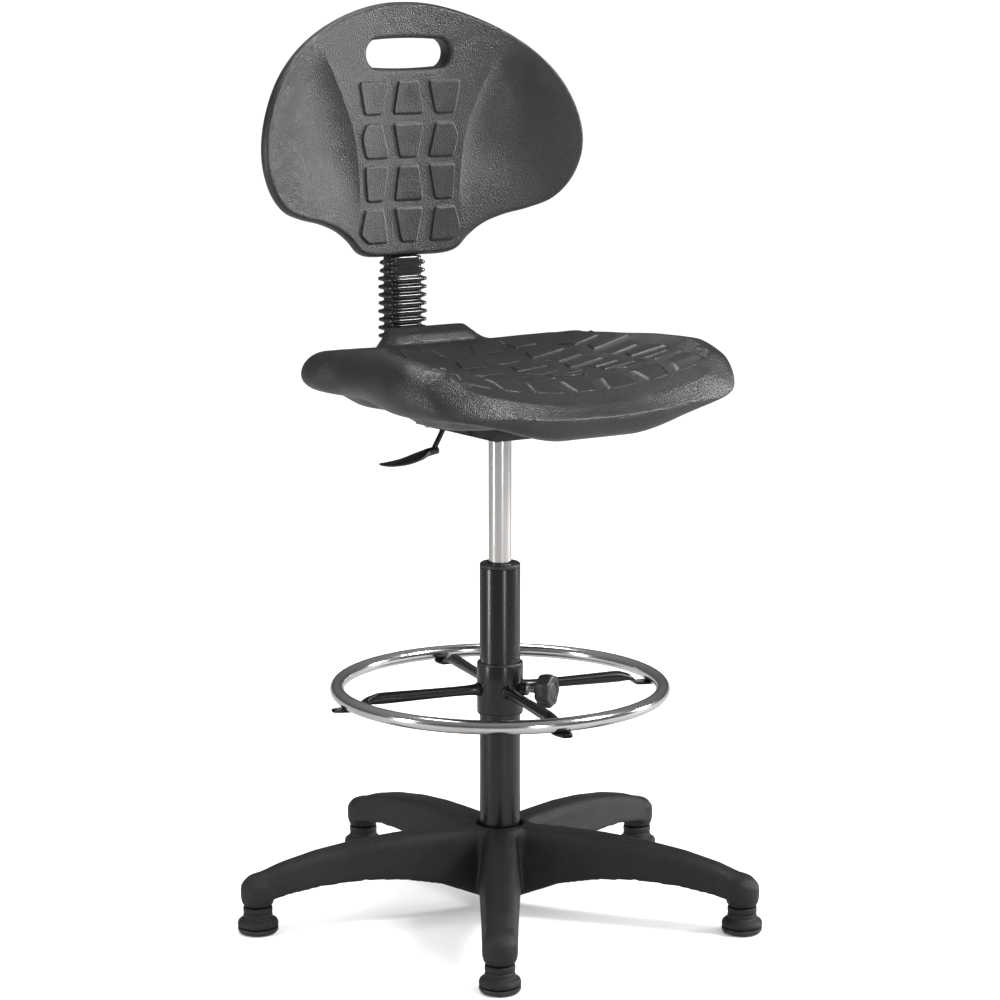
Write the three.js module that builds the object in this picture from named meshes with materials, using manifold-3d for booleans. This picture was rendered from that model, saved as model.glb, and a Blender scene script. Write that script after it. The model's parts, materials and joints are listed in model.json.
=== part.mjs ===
// Draughtsman's chair: a five-arm base on glides, a gas-lift column with a clamped foot ring,
// a moulded polyurethane seat and a backrest on a bar covered by rubber bellows.
// Millimetres, +Z up. The chair faces -Y and +X is the sitter's left.
// Every piece is placed from the swivel axis (x = 0, y = 0), with the floor at z = 0.
// The finished group is then moved so that the middle of its footprint is the origin.
import * as THREE from "three";
import { mergeVertices } from "three/addons/utils/BufferGeometryUtils.js";
import Module from "manifold-3d";

const wasm = await Module();
wasm.setup();

// ---- Driving sizes -------------------------------------------------------------------------

const GAP = 0.3; // clearance between pieces that touch or nest
const RUNNING = 0.4; // clearance of a piece that slides or turns in another

// Base
const GLIDE_CIRCLE = 308.5; // swivel axis to the middle of a glide
const ARM_COUNT = 5;
const FIRST_ARM = -124; // degrees from +X
const ARM_WALL = 3.5;
const HUB_TOP = 111;
const HUB_BOTTOM = 24;
const HUB_RADIUS = 41;
const HUB_RECESS_DEPTH = 13;
const ARM_END_RADIUS = 21;
const SOCKET_RADIUS = 17.5;

// Glides
const GLIDE_RADIUS = 25;
const SOLE_HEIGHT = 7.5;
const COLLAR_TOP = 33.5;
const COLLAR_RADIUS = 18;
const STEM_RADIUS = 5.5;
const STEM_LENGTH = 26;

// Column and gas lift
const COLUMN_RADIUS = 25;
const COLUMN_WALL = 2;
const COLUMN_FOOT = 20;
const COLUMN_TOP = 433;
const CAP_HEIGHT = 5.5;
const GUIDE_LENGTH = 84;
const CYLINDER_RADIUS = 14;
const CYLINDER_WALL = 1.4;
const CYLINDER_LENGTH = 374;
const CYLINDER_TOP = 612;
const ROD_RADIUS = 5;
const ROD_LENGTH = 372;

// Foot ring
const RING_RADIUS = 199.6;
const RING_TUBE = 9;
const RING_HEIGHT = 282.5;
const SLEEVE_HEIGHT = 60;
const SLEEVE_WALL = 2;
const BUSH_WALL = 0.9;
const BUSH_LENGTH = 20;
const SPOKE_COUNT = 4;
const FIRST_SPOKE = -102;
const SPOKE_RADIUS = 7.2;
const SPOKE_SOLE_WIDTH = 21;
const SPOKE_SOLE_THICKNESS = 4;

// Clamp screws with lobed knobs
const SCREW_RADIUS = 4;
const PAD_RADIUS = 4;
const PAD_LENGTH = 3;
const KNOB_RADIUS = 21.5;
const KNOB_THICKNESS = 19;
const KNOB_LOBES = 7;
const RING_CLAMP_ANGLE = -57;

// Seat mechanism
const SEAT_UNDERSIDE = 630;
const PLATE_THICKNESS = 3;
const PLATE_WIDTH = 190;
const PLATE_DEPTH = 210;
const PAN_WIDTH = 130;
const PAN_DEPTH = 176;
const PAN_HEIGHT = 23;
const PAN_WALL = 2.5;
const SOCKET_WALL = 5;
const BOARD_THICKNESS = 10;
const BOARD_WIDTH = 250;
const BOARD_DEPTH = 236;
const BOLT_SPACING_X = 150;
const BOLT_SPACING_Y = 176;
const BOLT_RADIUS = 4;

// Lever
const LEVER_RADIUS = 3.2;
const LEVER_PIVOT_X = -30;
const PADDLE_LENGTH = 74;
const PADDLE_WIDTH = 26;

// Back support
const BAR_WIDTH = 38;
const BAR_THICKNESS = 6;
const SPINE_Y = 220; // middle of the upright bar
const TILT_PIVOT_Y = 112;
const BAR_TOP = 905;
const BAR_BEND = 34;
const BELLOWS_BOTTOM = 655;
const BELLOWS_TOP = 793;
const BELLOWS_RADIUS = 33.5;
const BELLOWS_WAIST = 27;
const BELLOWS_RIBS = 12;
const TILT_BOLT_RADIUS = 5;

// Seat shell
const SEAT_DEPTH_FRONT = 222;
const SEAT_DEPTH_REAR = 178;
const SEAT_HALF_WIDTH = 228;

// Backrest shell
const BACK_FACE_Y = 205;
const BACK_THICKNESS = 25;
const WING_SWEEP = 55;
const BACK_HALF_WIDTH = 233;
const BACK_TOP = 1110;
const SLOT_LENGTH = 120;
const SLOT_HEIGHT = 37;
const SLOT_Z = 1047;

// ---- Materials -----------------------------------------------------------------------------

const finish = (color, roughness, metalness) =>
  new THREE.MeshStandardMaterial({ color, roughness, metalness });
const foamSkin = () => finish(0x1d1e20, 0.55, 0);
const nylon = () => finish(0x232426, 0.6, 0);
const blackPaint = () => finish(0x101113, 0.25, 0.1);
const blackPlastic = () => finish(0x17181a, 0.45, 0);
const chrome = () => finish(0xcfd1d3, 0.12, 1);
const steel = () => finish(0x9a9c9e, 0.35, 1);
const rubber = () => finish(0x0b0b0c, 0.35, 0);
const board = () => finish(0x2c2c2e, 0.8, 0);

// ---- Geometry helpers ----------------------------------------------------------------------

const rad = THREE.MathUtils.degToRad;
const lerp = THREE.MathUtils.lerp;
const smooth = (x, low, high) => THREE.MathUtils.smoothstep(x, low, high);

// A solid of revolution about Z. The profile is [radius, z] pairs, bottom to top on the outside.
function turned(profile, segments = 16) {
  const points = profile.map(([r, z]) => new THREE.Vector2(Math.max(r, 0), z));
  return new THREE.LatheGeometry(points, segments).rotateX(Math.PI / 2);
}

// A tube section about Z between two heights, with straight walls.
function ringOf(inner, outer, low, high, segments = 16) {
  const profile = [[inner, low], [outer, low], [outer, high], [inner, high], [inner, low]];
  return turned(profile, segments);
}

// A solid disc or pin about Z.
function discOf(radius, low, high, segments = 16) {
  return turned([[0, low], [radius, low], [radius, high], [0, high]], segments);
}

// An outline of [x, y] pairs pushed from z = 0 to z = height.
function pushed(outline, height) {
  const shape = new THREE.Shape(outline.map(([x, y]) => new THREE.Vector2(x, y)));
  return new THREE.ExtrudeGeometry(shape, { depth: height, bevelEnabled: false });
}

// A round bar along a curve through the given points.
function barAlong(points, radius, steps, sides = 10) {
  const curve = new THREE.CatmullRomCurve3(points, false, "centripetal");
  const shape = new THREE.Shape();
  shape.absarc(0, 0, radius, 0, 2 * Math.PI);
  const options = { steps, curveSegments: sides / 2, extrudePath: curve, bevelEnabled: false };
  return new THREE.ExtrudeGeometry(shape, options);
}

// A closed skin over equal-length rings of points, with a fan over each end.
function skinned(rings) {
  const count = rings[0].length;
  const position = rings.flat().flatMap((p) => [p.x, p.y, p.z]);
  const index = [];
  for (let i = 0; i + 1 < rings.length; i += 1) {
    for (let j = 0; j < count; j += 1) {
      const k = (j + 1) % count;
      const a = i * count + j;
      const b = i * count + k;
      index.push(a, b, a + count, b, b + count, a + count);
    }
  }
  for (const [start, turn] of [[0, false], [(rings.length - 1) * count, true]]) {
    const middle = new THREE.Vector3();
    for (let j = 0; j < count; j += 1) {
      middle.add(new THREE.Vector3().fromArray(position, 3 * (start + j)));
    }
    middle.divideScalar(count);
    const tip = position.length / 3;
    position.push(middle.x, middle.y, middle.z);
    for (let j = 0; j < count; j += 1) {
      const k = (j + 1) % count;
      if (turn) index.push(start + j, start + k, tip);
      else index.push(start + k, start + j, tip);
    }
  }
  return indexed(position, index);
}

function indexed(position, index) {
  const geometry = new THREE.BufferGeometry();
  geometry.setAttribute("position", new THREE.Float32BufferAttribute(position, 3));
  geometry.setIndex(index);
  return geometry;
}

// A skin over rings of points that closes on itself both ways, like a picture frame.
function looped(rings) {
  const count = rings[0].length;
  const position = rings.flat().flatMap((p) => [p.x, p.y, p.z]);
  const index = [];
  for (let i = 0; i < rings.length; i += 1) {
    const next = ((i + 1) % rings.length) * count;
    for (let j = 0; j < count; j += 1) {
      const k = (j + 1) % count;
      index.push(i * count + k, i * count + j, next + j, i * count + k, next + j, next + k);
    }
  }
  return indexed(position, index);
}

// Booleans
function solid(geometry) {
  const bare = geometry.clone();
  bare.deleteAttribute("normal");
  bare.deleteAttribute("uv");
  const merged = mergeVertices(bare, 1e-3);
  return new wasm.Manifold(
    new wasm.Mesh({
      numProp: 3,
      vertProperties: new Float32Array(merged.attributes.position.array),
      triVerts: new Uint32Array(merged.index.array),
    }),
  );
}

function surface(body) {
  const mesh = body.getMesh();
  return indexed(Array.from(mesh.vertProperties), Array.from(mesh.triVerts));
}

const cut = (geometry, ...tools) =>
  surface(tools.reduce((body, tool) => body.subtract(solid(tool)), solid(geometry)));
const join = (geometry, ...others) =>
  surface(others.reduce((body, other) => body.add(solid(other)), solid(geometry)));

function block(width, depth, height, x, y, z) {
  return new THREE.BoxGeometry(width, depth, height).translate(x, y, z);
}

const crossPin = (radius, length, x, y, z, sides = 16) =>
  new THREE.CylinderGeometry(radius, radius, length, sides).rotateZ(Math.PI / 2).translate(x, y, z);

// ---- Scene graph helpers -------------------------------------------------------------------

const chair = new THREE.Group();

function piece(parent, name, geometry, material) {
  const mesh = new THREE.Mesh(geometry, material);
  mesh.name = name;
  parent.add(mesh);
  return mesh;
}

function turnedGroup(parent, degrees) {
  const group = new THREE.Group();
  group.rotation.z = rad(degrees);
  parent.add(group);
  return group;
}

// ---- Base ----------------------------------------------------------------------------------

// Stations along an arm, as shares of the glide circle: centre-line top and bottom, half widths.
const ARM_STATIONS = [
  { share: 0.0, top: 110, bottom: 24, upper: 19, lower: 27 },
  { share: 0.12, top: 110, bottom: 27, upper: 18.5, lower: 27 },
  { share: 0.26, top: 109.5, bottom: 44, upper: 17.5, lower: 26 },
  { share: 0.42, top: 108, bottom: 54, upper: 17, lower: 25 },
  { share: 0.58, top: 103.5, bottom: 58, upper: 16.5, lower: 24 },
  { share: 0.76, top: 94.5, bottom: 55, upper: 16, lower: 22.5 },
  { share: 0.9, top: 83.5, bottom: 48, upper: 15.5, lower: 21.5 },
  { share: 0.98, top: 76.5, bottom: 42, upper: 15, lower: 21 },
];

// One arm section in the plane across the arm: flat bottom, leaning sides, rounded shoulders.
function armSection(station, inset) {
  const { top, bottom } = station;
  const upper = station.upper - inset;
  const lower = station.lower - inset;
  const crown = top - inset;
  const shoulder = crown - 0.16 * (top - bottom);
  const foot = inset > 0 ? bottom - 2 : bottom;
  return [
    [-lower, foot], [lower, foot], [lower, foot + 3], [lerp(lower, upper, 0.8), shoulder],
    [0.82 * upper, crown - 2], [0.45 * upper, crown], [-0.45 * upper, crown],
    [-0.82 * upper, crown - 2], [-lerp(lower, upper, 0.8), shoulder], [-lower, foot + 3],
  ];
}

function armRing(station, inset) {
  const x = station.share * GLIDE_CIRCLE;
  return armSection(station, inset).map(([y, z]) => new THREE.Vector3(x, y, z));
}

function armBody() {
  return skinned(ARM_STATIONS.map((station) => armRing(station, 0)));
}

// The hollow under an arm, between the hub and the glide socket, crossed by two ribs.
function armHollow() {
  const inner = ARM_STATIONS.filter(({ share }) => share > 0.2 && share < 0.95);
  return skinned(inner.map((station) => armRing(station, ARM_WALL)));
}

function armRibs() {
  const ribs = [];
  for (const share of [0.42, 0.76]) {
    const station = ARM_STATIONS.find((entry) => entry.share === share);
    const height = station.top - station.bottom - ARM_WALL - 6;
    const middle = station.bottom + 3 + height / 2;
    const width = 2 * (station.upper - 1.5);
    ribs.push(block(ARM_WALL, width, height, share * GLIDE_CIRCLE, 0, middle));
  }
  return ribs;
}

// The rounded end that holds a glide.
function armEnd() {
  const low = COLLAR_TOP + GAP;
  const profile = [
    [0, low], [SOCKET_RADIUS, low], [SOCKET_RADIUS + 1, low + 1], [ARM_END_RADIUS, low + 9],
    [ARM_END_RADIUS, 62], [ARM_END_RADIUS - 3, 70], [ARM_END_RADIUS - 8, 75], [0, 77.5],
  ];
  return turned(profile, 16).translate(GLIDE_CIRCLE, 0, 0);
}

// Radius of the column's outside at a height: straight, with a tapered foot.
const TAPER_TOP = HUB_TOP - HUB_RECESS_DEPTH;
const TAPER_DROP = 1.6;
const columnRadiusAt = (z) =>
  COLUMN_RADIUS - TAPER_DROP * Math.min(1, Math.max(0, (TAPER_TOP - z) / (TAPER_TOP - COLUMN_FOOT)));

function starBase() {
  const arms = [];
  const hollows = [];
  for (let i = 0; i < ARM_COUNT; i += 1) {
    const angle = rad(FIRST_ARM + (360 / ARM_COUNT) * i);
    arms.push(armBody().rotateZ(angle), armEnd().rotateZ(angle));
    const hollow = cut(armHollow(), ...armRibs());
    hollows.push(hollow.rotateZ(angle));
    const stemHole = discOf(STEM_RADIUS + GAP, COLLAR_TOP - 1, COLLAR_TOP + STEM_LENGTH + 1, 16);
    hollows.push(stemHole.translate(GLIDE_CIRCLE, 0, 0).rotateZ(angle));
  }
  const hub = turned([
    [0, HUB_BOTTOM], [HUB_RADIUS - 2, HUB_BOTTOM], [HUB_RADIUS, HUB_BOTTOM + 3],
    [HUB_RADIUS, HUB_TOP - 8], [HUB_RADIUS - 3, HUB_TOP - 2], [HUB_RADIUS - 8, HUB_TOP], [0, HUB_TOP],
  ], 30);
  const bore = turned([
    [0, HUB_BOTTOM - 5], [columnRadiusAt(HUB_BOTTOM - 5) + GAP, HUB_BOTTOM - 5],
    [columnRadiusAt(TAPER_TOP) + GAP, TAPER_TOP], [COLUMN_RADIUS + 3.5, TAPER_TOP + 0.5],
    [COLUMN_RADIUS + 3.5, HUB_TOP + 5], [0, HUB_TOP + 5],
  ], 30);
  return cut(join(hub, ...arms), bore, ...hollows);
}

function glideBody() {
  const flangeLow = SOLE_HEIGHT + GAP;
  return turned([
    [0, flangeLow], [GLIDE_RADIUS - 3, flangeLow], [GLIDE_RADIUS - 3, flangeLow + 1],
    [GLIDE_RADIUS - 0.4, flangeLow + 1.6], [GLIDE_RADIUS, flangeLow + 4.5],
    [GLIDE_RADIUS - 1.2, flangeLow + 8], [GLIDE_RADIUS - 4.5, flangeLow + 10.5],
    [COLLAR_RADIUS, flangeLow + 12.5], [COLLAR_RADIUS, COLLAR_TOP - 1], [COLLAR_RADIUS - 1, COLLAR_TOP],
    [STEM_RADIUS, COLLAR_TOP], [STEM_RADIUS, COLLAR_TOP + STEM_LENGTH], [0, COLLAR_TOP + STEM_LENGTH],
  ], 16);
}

function glideSole() {
  return turned([
    [0, 0], [GLIDE_RADIUS - 6.5, 0], [GLIDE_RADIUS - 2, 1.6], [GLIDE_RADIUS - 0.3, 4.2],
    [GLIDE_RADIUS - 0.3, SOLE_HEIGHT], [0, SOLE_HEIGHT],
  ], 16);
}

// ---- Column and the parts inside it ----------------------------------------------------------

const COLUMN_FLOOR = COLUMN_FOOT + 8;
const INNER_RADIUS = COLUMN_RADIUS - COLUMN_WALL;
const ROD_BOTTOM = COLUMN_FOOT - 6;
const CYLINDER_BOTTOM = CYLINDER_TOP - CYLINDER_LENGTH;

function columnTube() {
  const foot = columnRadiusAt(COLUMN_FOOT);
  const bore = INNER_RADIUS - TAPER_DROP;
  return turned([
    [ROD_RADIUS + 2, COLUMN_FOOT], [foot, COLUMN_FOOT], [columnRadiusAt(TAPER_TOP), TAPER_TOP],
    [COLUMN_RADIUS, COLUMN_TOP], [INNER_RADIUS, COLUMN_TOP], [INNER_RADIUS, TAPER_TOP],
    [bore, COLUMN_FLOOR], [ROD_RADIUS + 2, COLUMN_FLOOR], [ROD_RADIUS + 2, COLUMN_FOOT],
  ], 30);
}

function guideBush() {
  const bore = CYLINDER_RADIUS + RUNNING;
  const low = COLUMN_TOP - GUIDE_LENGTH;
  const seatZ = COLUMN_TOP + GAP;
  const top = seatZ + CAP_HEIGHT;
  return turned([
    [bore, low], [INNER_RADIUS - GAP, low], [INNER_RADIUS - GAP, seatZ], [COLUMN_RADIUS, seatZ],
    [COLUMN_RADIUS, top - 2.5], [COLUMN_RADIUS - 1.8, top - 0.5], [COLUMN_RADIUS - 4, top],
    [bore, top], [bore, low],
  ], 24);
}

const WASHER = 2;
const BALL_HEIGHT = 5;
const WASHER_OUTER = 16;

function bearingStack() {
  const washerLow = COLUMN_FLOOR + GAP;
  const cageLow = washerLow + WASHER + GAP;
  const washerHigh = cageLow + BALL_HEIGHT + GAP;
  const bumperLow = washerHigh + WASHER + GAP;
  return { washerLow, cageLow, washerHigh, bumperLow };
}

const BUMPER_HEIGHT = 24;

function gasCylinder() {
  const inner = CYLINDER_RADIUS - CYLINDER_WALL;
  const shoulder = CYLINDER_TOP - 14;
  return turned([
    [ROD_RADIUS + RUNNING, CYLINDER_BOTTOM], [CYLINDER_RADIUS - 1, CYLINDER_BOTTOM],
    [CYLINDER_RADIUS, CYLINDER_BOTTOM + 1.5], [CYLINDER_RADIUS, shoulder],
    [CYLINDER_RADIUS - 0.8, CYLINDER_TOP - 1], [CYLINDER_RADIUS - 1.8, CYLINDER_TOP],
    [VALVE_RADIUS + RUNNING, CYLINDER_TOP], [VALVE_RADIUS + RUNNING, CYLINDER_TOP - 8],
    [inner, CYLINDER_TOP - 10], [inner, CYLINDER_BOTTOM + 14],
    [ROD_RADIUS + RUNNING, CYLINDER_BOTTOM + 12], [ROD_RADIUS + RUNNING, CYLINDER_BOTTOM],
  ], 24);
}

const VALVE_RADIUS = 4;
const VALVE_STAND = 4;

// ---- Foot ring -------------------------------------------------------------------------------

const SLEEVE_INNER = COLUMN_RADIUS + RUNNING + BUSH_WALL + GAP;
const SLEEVE_OUTER = SLEEVE_INNER + SLEEVE_WALL;
const SLEEVE_LOW = RING_HEIGHT - SLEEVE_HEIGHT / 2;
const SLEEVE_HIGH = RING_HEIGHT + SLEEVE_HEIGHT / 2;

// A plastic bush pressed into one end of the sleeve, with a lip over the sleeve's edge.
function ringBush() {
  const bore = COLUMN_RADIUS + RUNNING;
  return turned([
    [bore, -BUSH_LENGTH], [bore + BUSH_WALL, -BUSH_LENGTH], [bore + BUSH_WALL, GAP],
    [SLEEVE_OUTER, GAP], [SLEEVE_OUTER - 0.6, 2.2], [bore, 2.6], [bore, -BUSH_LENGTH],
  ], 30);
}

function ringSleeve() {
  const hole = radialPin(SCREW_RADIUS + GAP, SLEEVE_INNER - 6, SLEEVE_OUTER + 6, RING_CLAMP_ANGLE);
  return cut(ringOf(SLEEVE_INNER, SLEEVE_OUTER, SLEEVE_LOW, SLEEVE_HIGH, 30), hole);
}

// A round bar lying along a direction from the column, at the height of the foot ring.
function radialPin(radius, from, to, degrees, sides = 14) {
  const pin = new THREE.CylinderGeometry(radius, radius, to - from, sides);
  return pin.rotateZ(-Math.PI / 2).translate((from + to) / 2, 0, RING_HEIGHT).rotateZ(rad(degrees));
}

// A spoke is a tube whose outer end is pressed flat and cranked under the ring.
function spoke() {
  const start = SLEEVE_OUTER + GAP;
  const flat = RING_RADIUS - 24;
  const end = RING_RADIUS + RING_TUBE + 3;
  const underRing = RING_HEIGHT - RING_TUBE - GAP - SPOKE_SOLE_THICKNESS / 2;
  const stations = [
    [start, SPOKE_RADIUS, SPOKE_RADIUS, RING_HEIGHT - 1],
    [flat - 22, SPOKE_RADIUS, SPOKE_RADIUS, RING_HEIGHT - 1],
    [flat - 9, 1.15 * SPOKE_RADIUS, 0.75 * SPOKE_RADIUS, RING_HEIGHT - 2],
    [flat, 0.46 * SPOKE_SOLE_WIDTH, 0.75 * SPOKE_SOLE_THICKNESS, RING_HEIGHT - 5],
    [flat + 9, SPOKE_SOLE_WIDTH / 2, SPOKE_SOLE_THICKNESS / 2, underRing],
    [end - 3, SPOKE_SOLE_WIDTH / 2, SPOKE_SOLE_THICKNESS / 2, underRing],
    [end, SPOKE_SOLE_WIDTH / 2 - 3, SPOKE_SOLE_THICKNESS / 2 - 0.8, underRing],
  ];
  const sides = 12;
  const rings = stations.map(([x, halfWidth, halfHeight, z]) => {
    const ring = [];
    for (let i = 0; i < sides; i += 1) {
      const angle = (2 * Math.PI * (i + 0.5)) / sides;
      ring.push(new THREE.Vector3(x, halfWidth * Math.cos(angle), z + halfHeight * Math.sin(angle)));
    }
    return ring;
  });
  return skinned(rings);
}

// ---- Clamp screws ----------------------------------------------------------------------------

// A lobed knob about Z, its face towards +Z, with a blind hole for the screw.
function knobBody(boreRadius, boreDepth) {
  const outline = [];
  const steps = KNOB_LOBES * 4;
  for (let i = 0; i < steps; i += 1) {
    const angle = (2 * Math.PI * i) / steps;
    const radius = KNOB_RADIUS * (1 - 0.05 * (1 + Math.cos(KNOB_LOBES * angle)));
    outline.push([radius * Math.cos(angle), radius * Math.sin(angle)]);
  }
  const levels = [[0, 0.86], [2, 0.95], [KNOB_THICKNESS - 3, 1], [KNOB_THICKNESS, 0.88]];
  const rings = levels.map(([z, scale]) =>
    outline.map(([x, y]) => new THREE.Vector3(x * scale, y * scale, z)));
  return cut(skinned(rings), discOf(boreRadius, -1, boreDepth, 16));
}

// Pad, screw and knob in a row along +Z. The pad's face is at z = 0.
function clampSet(parent, prefix, reach) {
  const screwLow = PAD_LENGTH + GAP;
  const hold = 12;
  piece(parent, `${prefix}_pad`, discOf(PAD_RADIUS, 0, PAD_LENGTH, 16), steel());
  piece(parent, `${prefix}_screw`, discOf(SCREW_RADIUS, screwLow, reach + hold, 16), steel());
  const knob = piece(parent, `${prefix}_knob`, knobBody(SCREW_RADIUS + GAP, hold + GAP), blackPlastic());
  knob.position.z = reach;
}

// ---- Seat ------------------------------------------------------------------------------------

// Half outline of the seat from the middle of the rear edge to the middle of the front edge,
// as shares of the half width and of the depth behind and before the swivel axis.
const SEAT_OUTLINE = [
  [0, 1], [0.2, 1], [0.33, 0.97], [0.46, 0.9], [0.62, 0.91], [0.77, 0.9], [0.86, 0.78], [0.88, 0.58],
  [0.855, 0.3], [0.88, 0], [0.95, -0.25], [1, -0.5], [0.99, -0.68], [0.93, -0.84], [0.78, -0.94],
  [0.5, -0.985], [0, -1],
];

const seatRimAt = (() => {
  const half = SEAT_OUTLINE.map(([x, y]) => new THREE.Vector3(
    x * SEAT_HALF_WIDTH, y * (y > 0 ? SEAT_DEPTH_REAR : SEAT_DEPTH_FRONT), 0));
  const other = half.slice(1, -1).reverse().map((p) => new THREE.Vector3(-p.x, p.y, 0));
  return new THREE.CatmullRomCurve3([...half, ...other], true, "centripetal");
})();

// Height of the sitting surface along the middle line, rear to front.
const SEAT_SPINE = [
  [178, 708], [165, 712], [152, 705], [140, 692], [98, 679], [47, 671], [0, 667], [-50, 668],
  [-100, 675], [-135, 681], [-155, 680], [-178, 668], [-200, 650], [-222, 636],
];

// Height of the bolsters' crest, rear to front.
const SEAT_CREST = [
  [178, 686], [130, 696], [80, 703], [0, 709], [-60, 712], [-120, 712], [-165, 704], [-200, 686], [-222, 662],
];

function readTable(table, y) {
  if (y >= table[0][0]) return table[0][1];
  for (let i = 1; i < table.length; i += 1) {
    const [y0, z0] = table[i - 1];
    const [y1, z1] = table[i];
    if (y >= y1) return lerp(z1, z0, smooth(y, y1, y0) * 0.5 + ((y - y1) / (y0 - y1)) * 0.5);
  }
  return table[table.length - 1][1];
}

// Half width of the seat behind and before the axis, and the least width the bolsters start from.
const SEAT_SIDE = SEAT_OUTLINE.slice(5).map(([x, y]) => [
  y * (y > 0 ? SEAT_DEPTH_REAR : SEAT_DEPTH_FRONT), x * SEAT_HALF_WIDTH]);
const SEAT_ROUND = 34;
const LEAST_HOLLOW = 150;

function seatTop(x, y) {
  const hollow = Math.max(LEAST_HOLLOW, readTable(SEAT_SIDE, y) - SEAT_ROUND);
  const across = Math.min(1, Math.abs(x) / hollow);
  const lip = smooth(y, 120, 170) * (1 - smooth(Math.abs(x), 60, 100));
  const share = Math.pow(across, 2.1) * (1 - lip);
  const spine = readTable(SEAT_SPINE, y);
  const lobes = lerp(spine, readTable(SEAT_CREST, y), smooth(y, 110, 150) * smooth(Math.abs(x), 50, 95));
  return lerp(Math.abs(x) > 50 ? lobes : spine, readTable(SEAT_CREST, y), share);
}

const SEAT_MID_EDGE = (y) => 668 + 8 * smooth(-y, -100, 150) - 24 * smooth(-y, 150, 222);
const SEAT_RIM_BASE = (x, y) => 648 - 22 * smooth(-y, 120, 215) * (1 - smooth(Math.abs(x), 100, 170));
const SEAT_LIP_ROUND = 14;

// How far the rim is rounded over: wide all round, tight along the raised lip at the rear.
const seatRound = (p) => {
  const lip = smooth(p.y, 130, 165) * (1 - smooth(Math.abs(p.x), 50, 90));
  return lerp(SEAT_ROUND, SEAT_LIP_ROUND, lip);
};

// The seat skin: rings from the middle of the top, out over the rim and back below.
function seatShell() {
  const around = 60;
  const rings = [];
  const rim = [];
  for (let i = 0; i < around; i += 1) rim.push(seatRimAt.getPointAt(i / around));
  const heart = new THREE.Vector3(0, 0, 0);
  const inside = (p, inset) => {
    const out = p.clone().sub(heart);
    return heart.clone().addScaledVector(out, 1 - inset / out.length());
  };
  for (const share of [0.08, 0.3, 0.5, 0.68, 0.84, 1]) {
    rings.push(rim.map((p) => {
      const q = heart.clone().lerp(inside(p, seatRound(p)), share);
      return new THREE.Vector3(q.x, q.y, seatTop(q.x, q.y));
    }));
  }
  for (const degrees of [62, 38, 15, -12, -40, -70]) {
    rings.push(rim.map((p) => {
      const out = Math.cos(rad(degrees));
      const q = inside(p, seatRound(p) * (1 - Math.pow(out, 0.85)));
      const inner = inside(p, seatRound(p));
      const middle = SEAT_MID_EDGE(p.y);
      const high = seatTop(inner.x, inner.y) - middle;
      const low = middle - SEAT_RIM_BASE(p.x, p.y);
      const rise = Math.sin(rad(degrees));
      return new THREE.Vector3(q.x, q.y, middle + rise * (rise > 0 ? high : low));
    }));
  }
  for (const share of [1, 0.88, 0.78]) {
    rings.push(rim.map((p) => {
      const q = heart.clone().lerp(inside(p, SEAT_ROUND), share);
      const z = lerp(SEAT_UNDERSIDE, SEAT_RIM_BASE(p.x, p.y), smooth(share, 0.78, 1));
      return new THREE.Vector3(q.x, q.y, z);
    }));
  }
  rings.push(rim.map((p) => heart.clone().lerp(p, 0.05).setZ(SEAT_UNDERSIDE)));
  const shell = skinned(rings);
  const pocket = block(
    BOARD_WIDTH + 2 * GAP, BOARD_DEPTH + 2 * GAP, BOARD_THICKNESS + 1 + GAP,
    0, 0, SEAT_UNDERSIDE + (BOARD_THICKNESS + GAP - 1) / 2);
  return cut(shell, pocket);
}

function boltPlaces() {
  const places = [];
  for (const sx of [-1, 1]) {
    for (const sy of [-1, 1]) places.push([(sx * BOLT_SPACING_X) / 2, (sy * BOLT_SPACING_Y) / 2]);
  }
  return places;
}

const PLATE_TOP = SEAT_UNDERSIDE - GAP;
const PLATE_LOW = PLATE_TOP - PLATE_THICKNESS;
const PAN_TOP = PLATE_LOW - GAP;
const PAN_LOW = PAN_TOP - PAN_HEIGHT;

function boltHoles(low, high) {
  return boltPlaces().map(([x, y]) => discOf(BOLT_RADIUS + GAP, low, high, 16).translate(x, y, 0));
}

function seatBoard() {
  const middle = SEAT_UNDERSIDE + BOARD_THICKNESS / 2;
  const low = SEAT_UNDERSIDE - 1;
  return cut(block(BOARD_WIDTH, BOARD_DEPTH, BOARD_THICKNESS, 0, 0, middle),
    ...boltHoles(low, low + BOARD_THICKNESS + 3));
}

function seatPlate() {
  const corner = 18;
  const w = PLATE_WIDTH / 2;
  const d = PLATE_DEPTH / 2;
  const outline = [
    [-w + corner, -d], [w - corner, -d], [w, -d + corner], [w, d - corner],
    [w - corner, d], [-w + corner, d], [-w, d - corner], [-w, -d + corner],
  ];
  const plate = pushed(outline, PLATE_THICKNESS).translate(0, 0, PLATE_LOW);
  return cut(plate, ...boltHoles(PLATE_LOW - 1, PLATE_TOP + 1));
}

const TAPER_SOCKET_RADIUS = CYLINDER_RADIUS + GAP + SOCKET_WALL;

function mechanismPan() {
  const middle = (PAN_LOW + PAN_TOP) / 2;
  const outer = block(PAN_WIDTH, PAN_DEPTH, PAN_HEIGHT, 0, 0, middle);
  const inner = block(
    PAN_WIDTH - 2 * PAN_WALL, PAN_DEPTH - 2 * PAN_WALL, PAN_HEIGHT, 0, 0, middle + PAN_WALL);
  const socketHole = discOf(TAPER_SOCKET_RADIUS + GAP, PAN_LOW - 1, PAN_LOW + PAN_WALL + 1, 24);
  const leverSlot = block(3 * PAN_WALL, 4 * LEVER_RADIUS, PAN_HEIGHT, -PAN_WIDTH / 2, 0, middle + PAN_WALL);
  return cut(outer, inner, socketHole, leverSlot);
}

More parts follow.
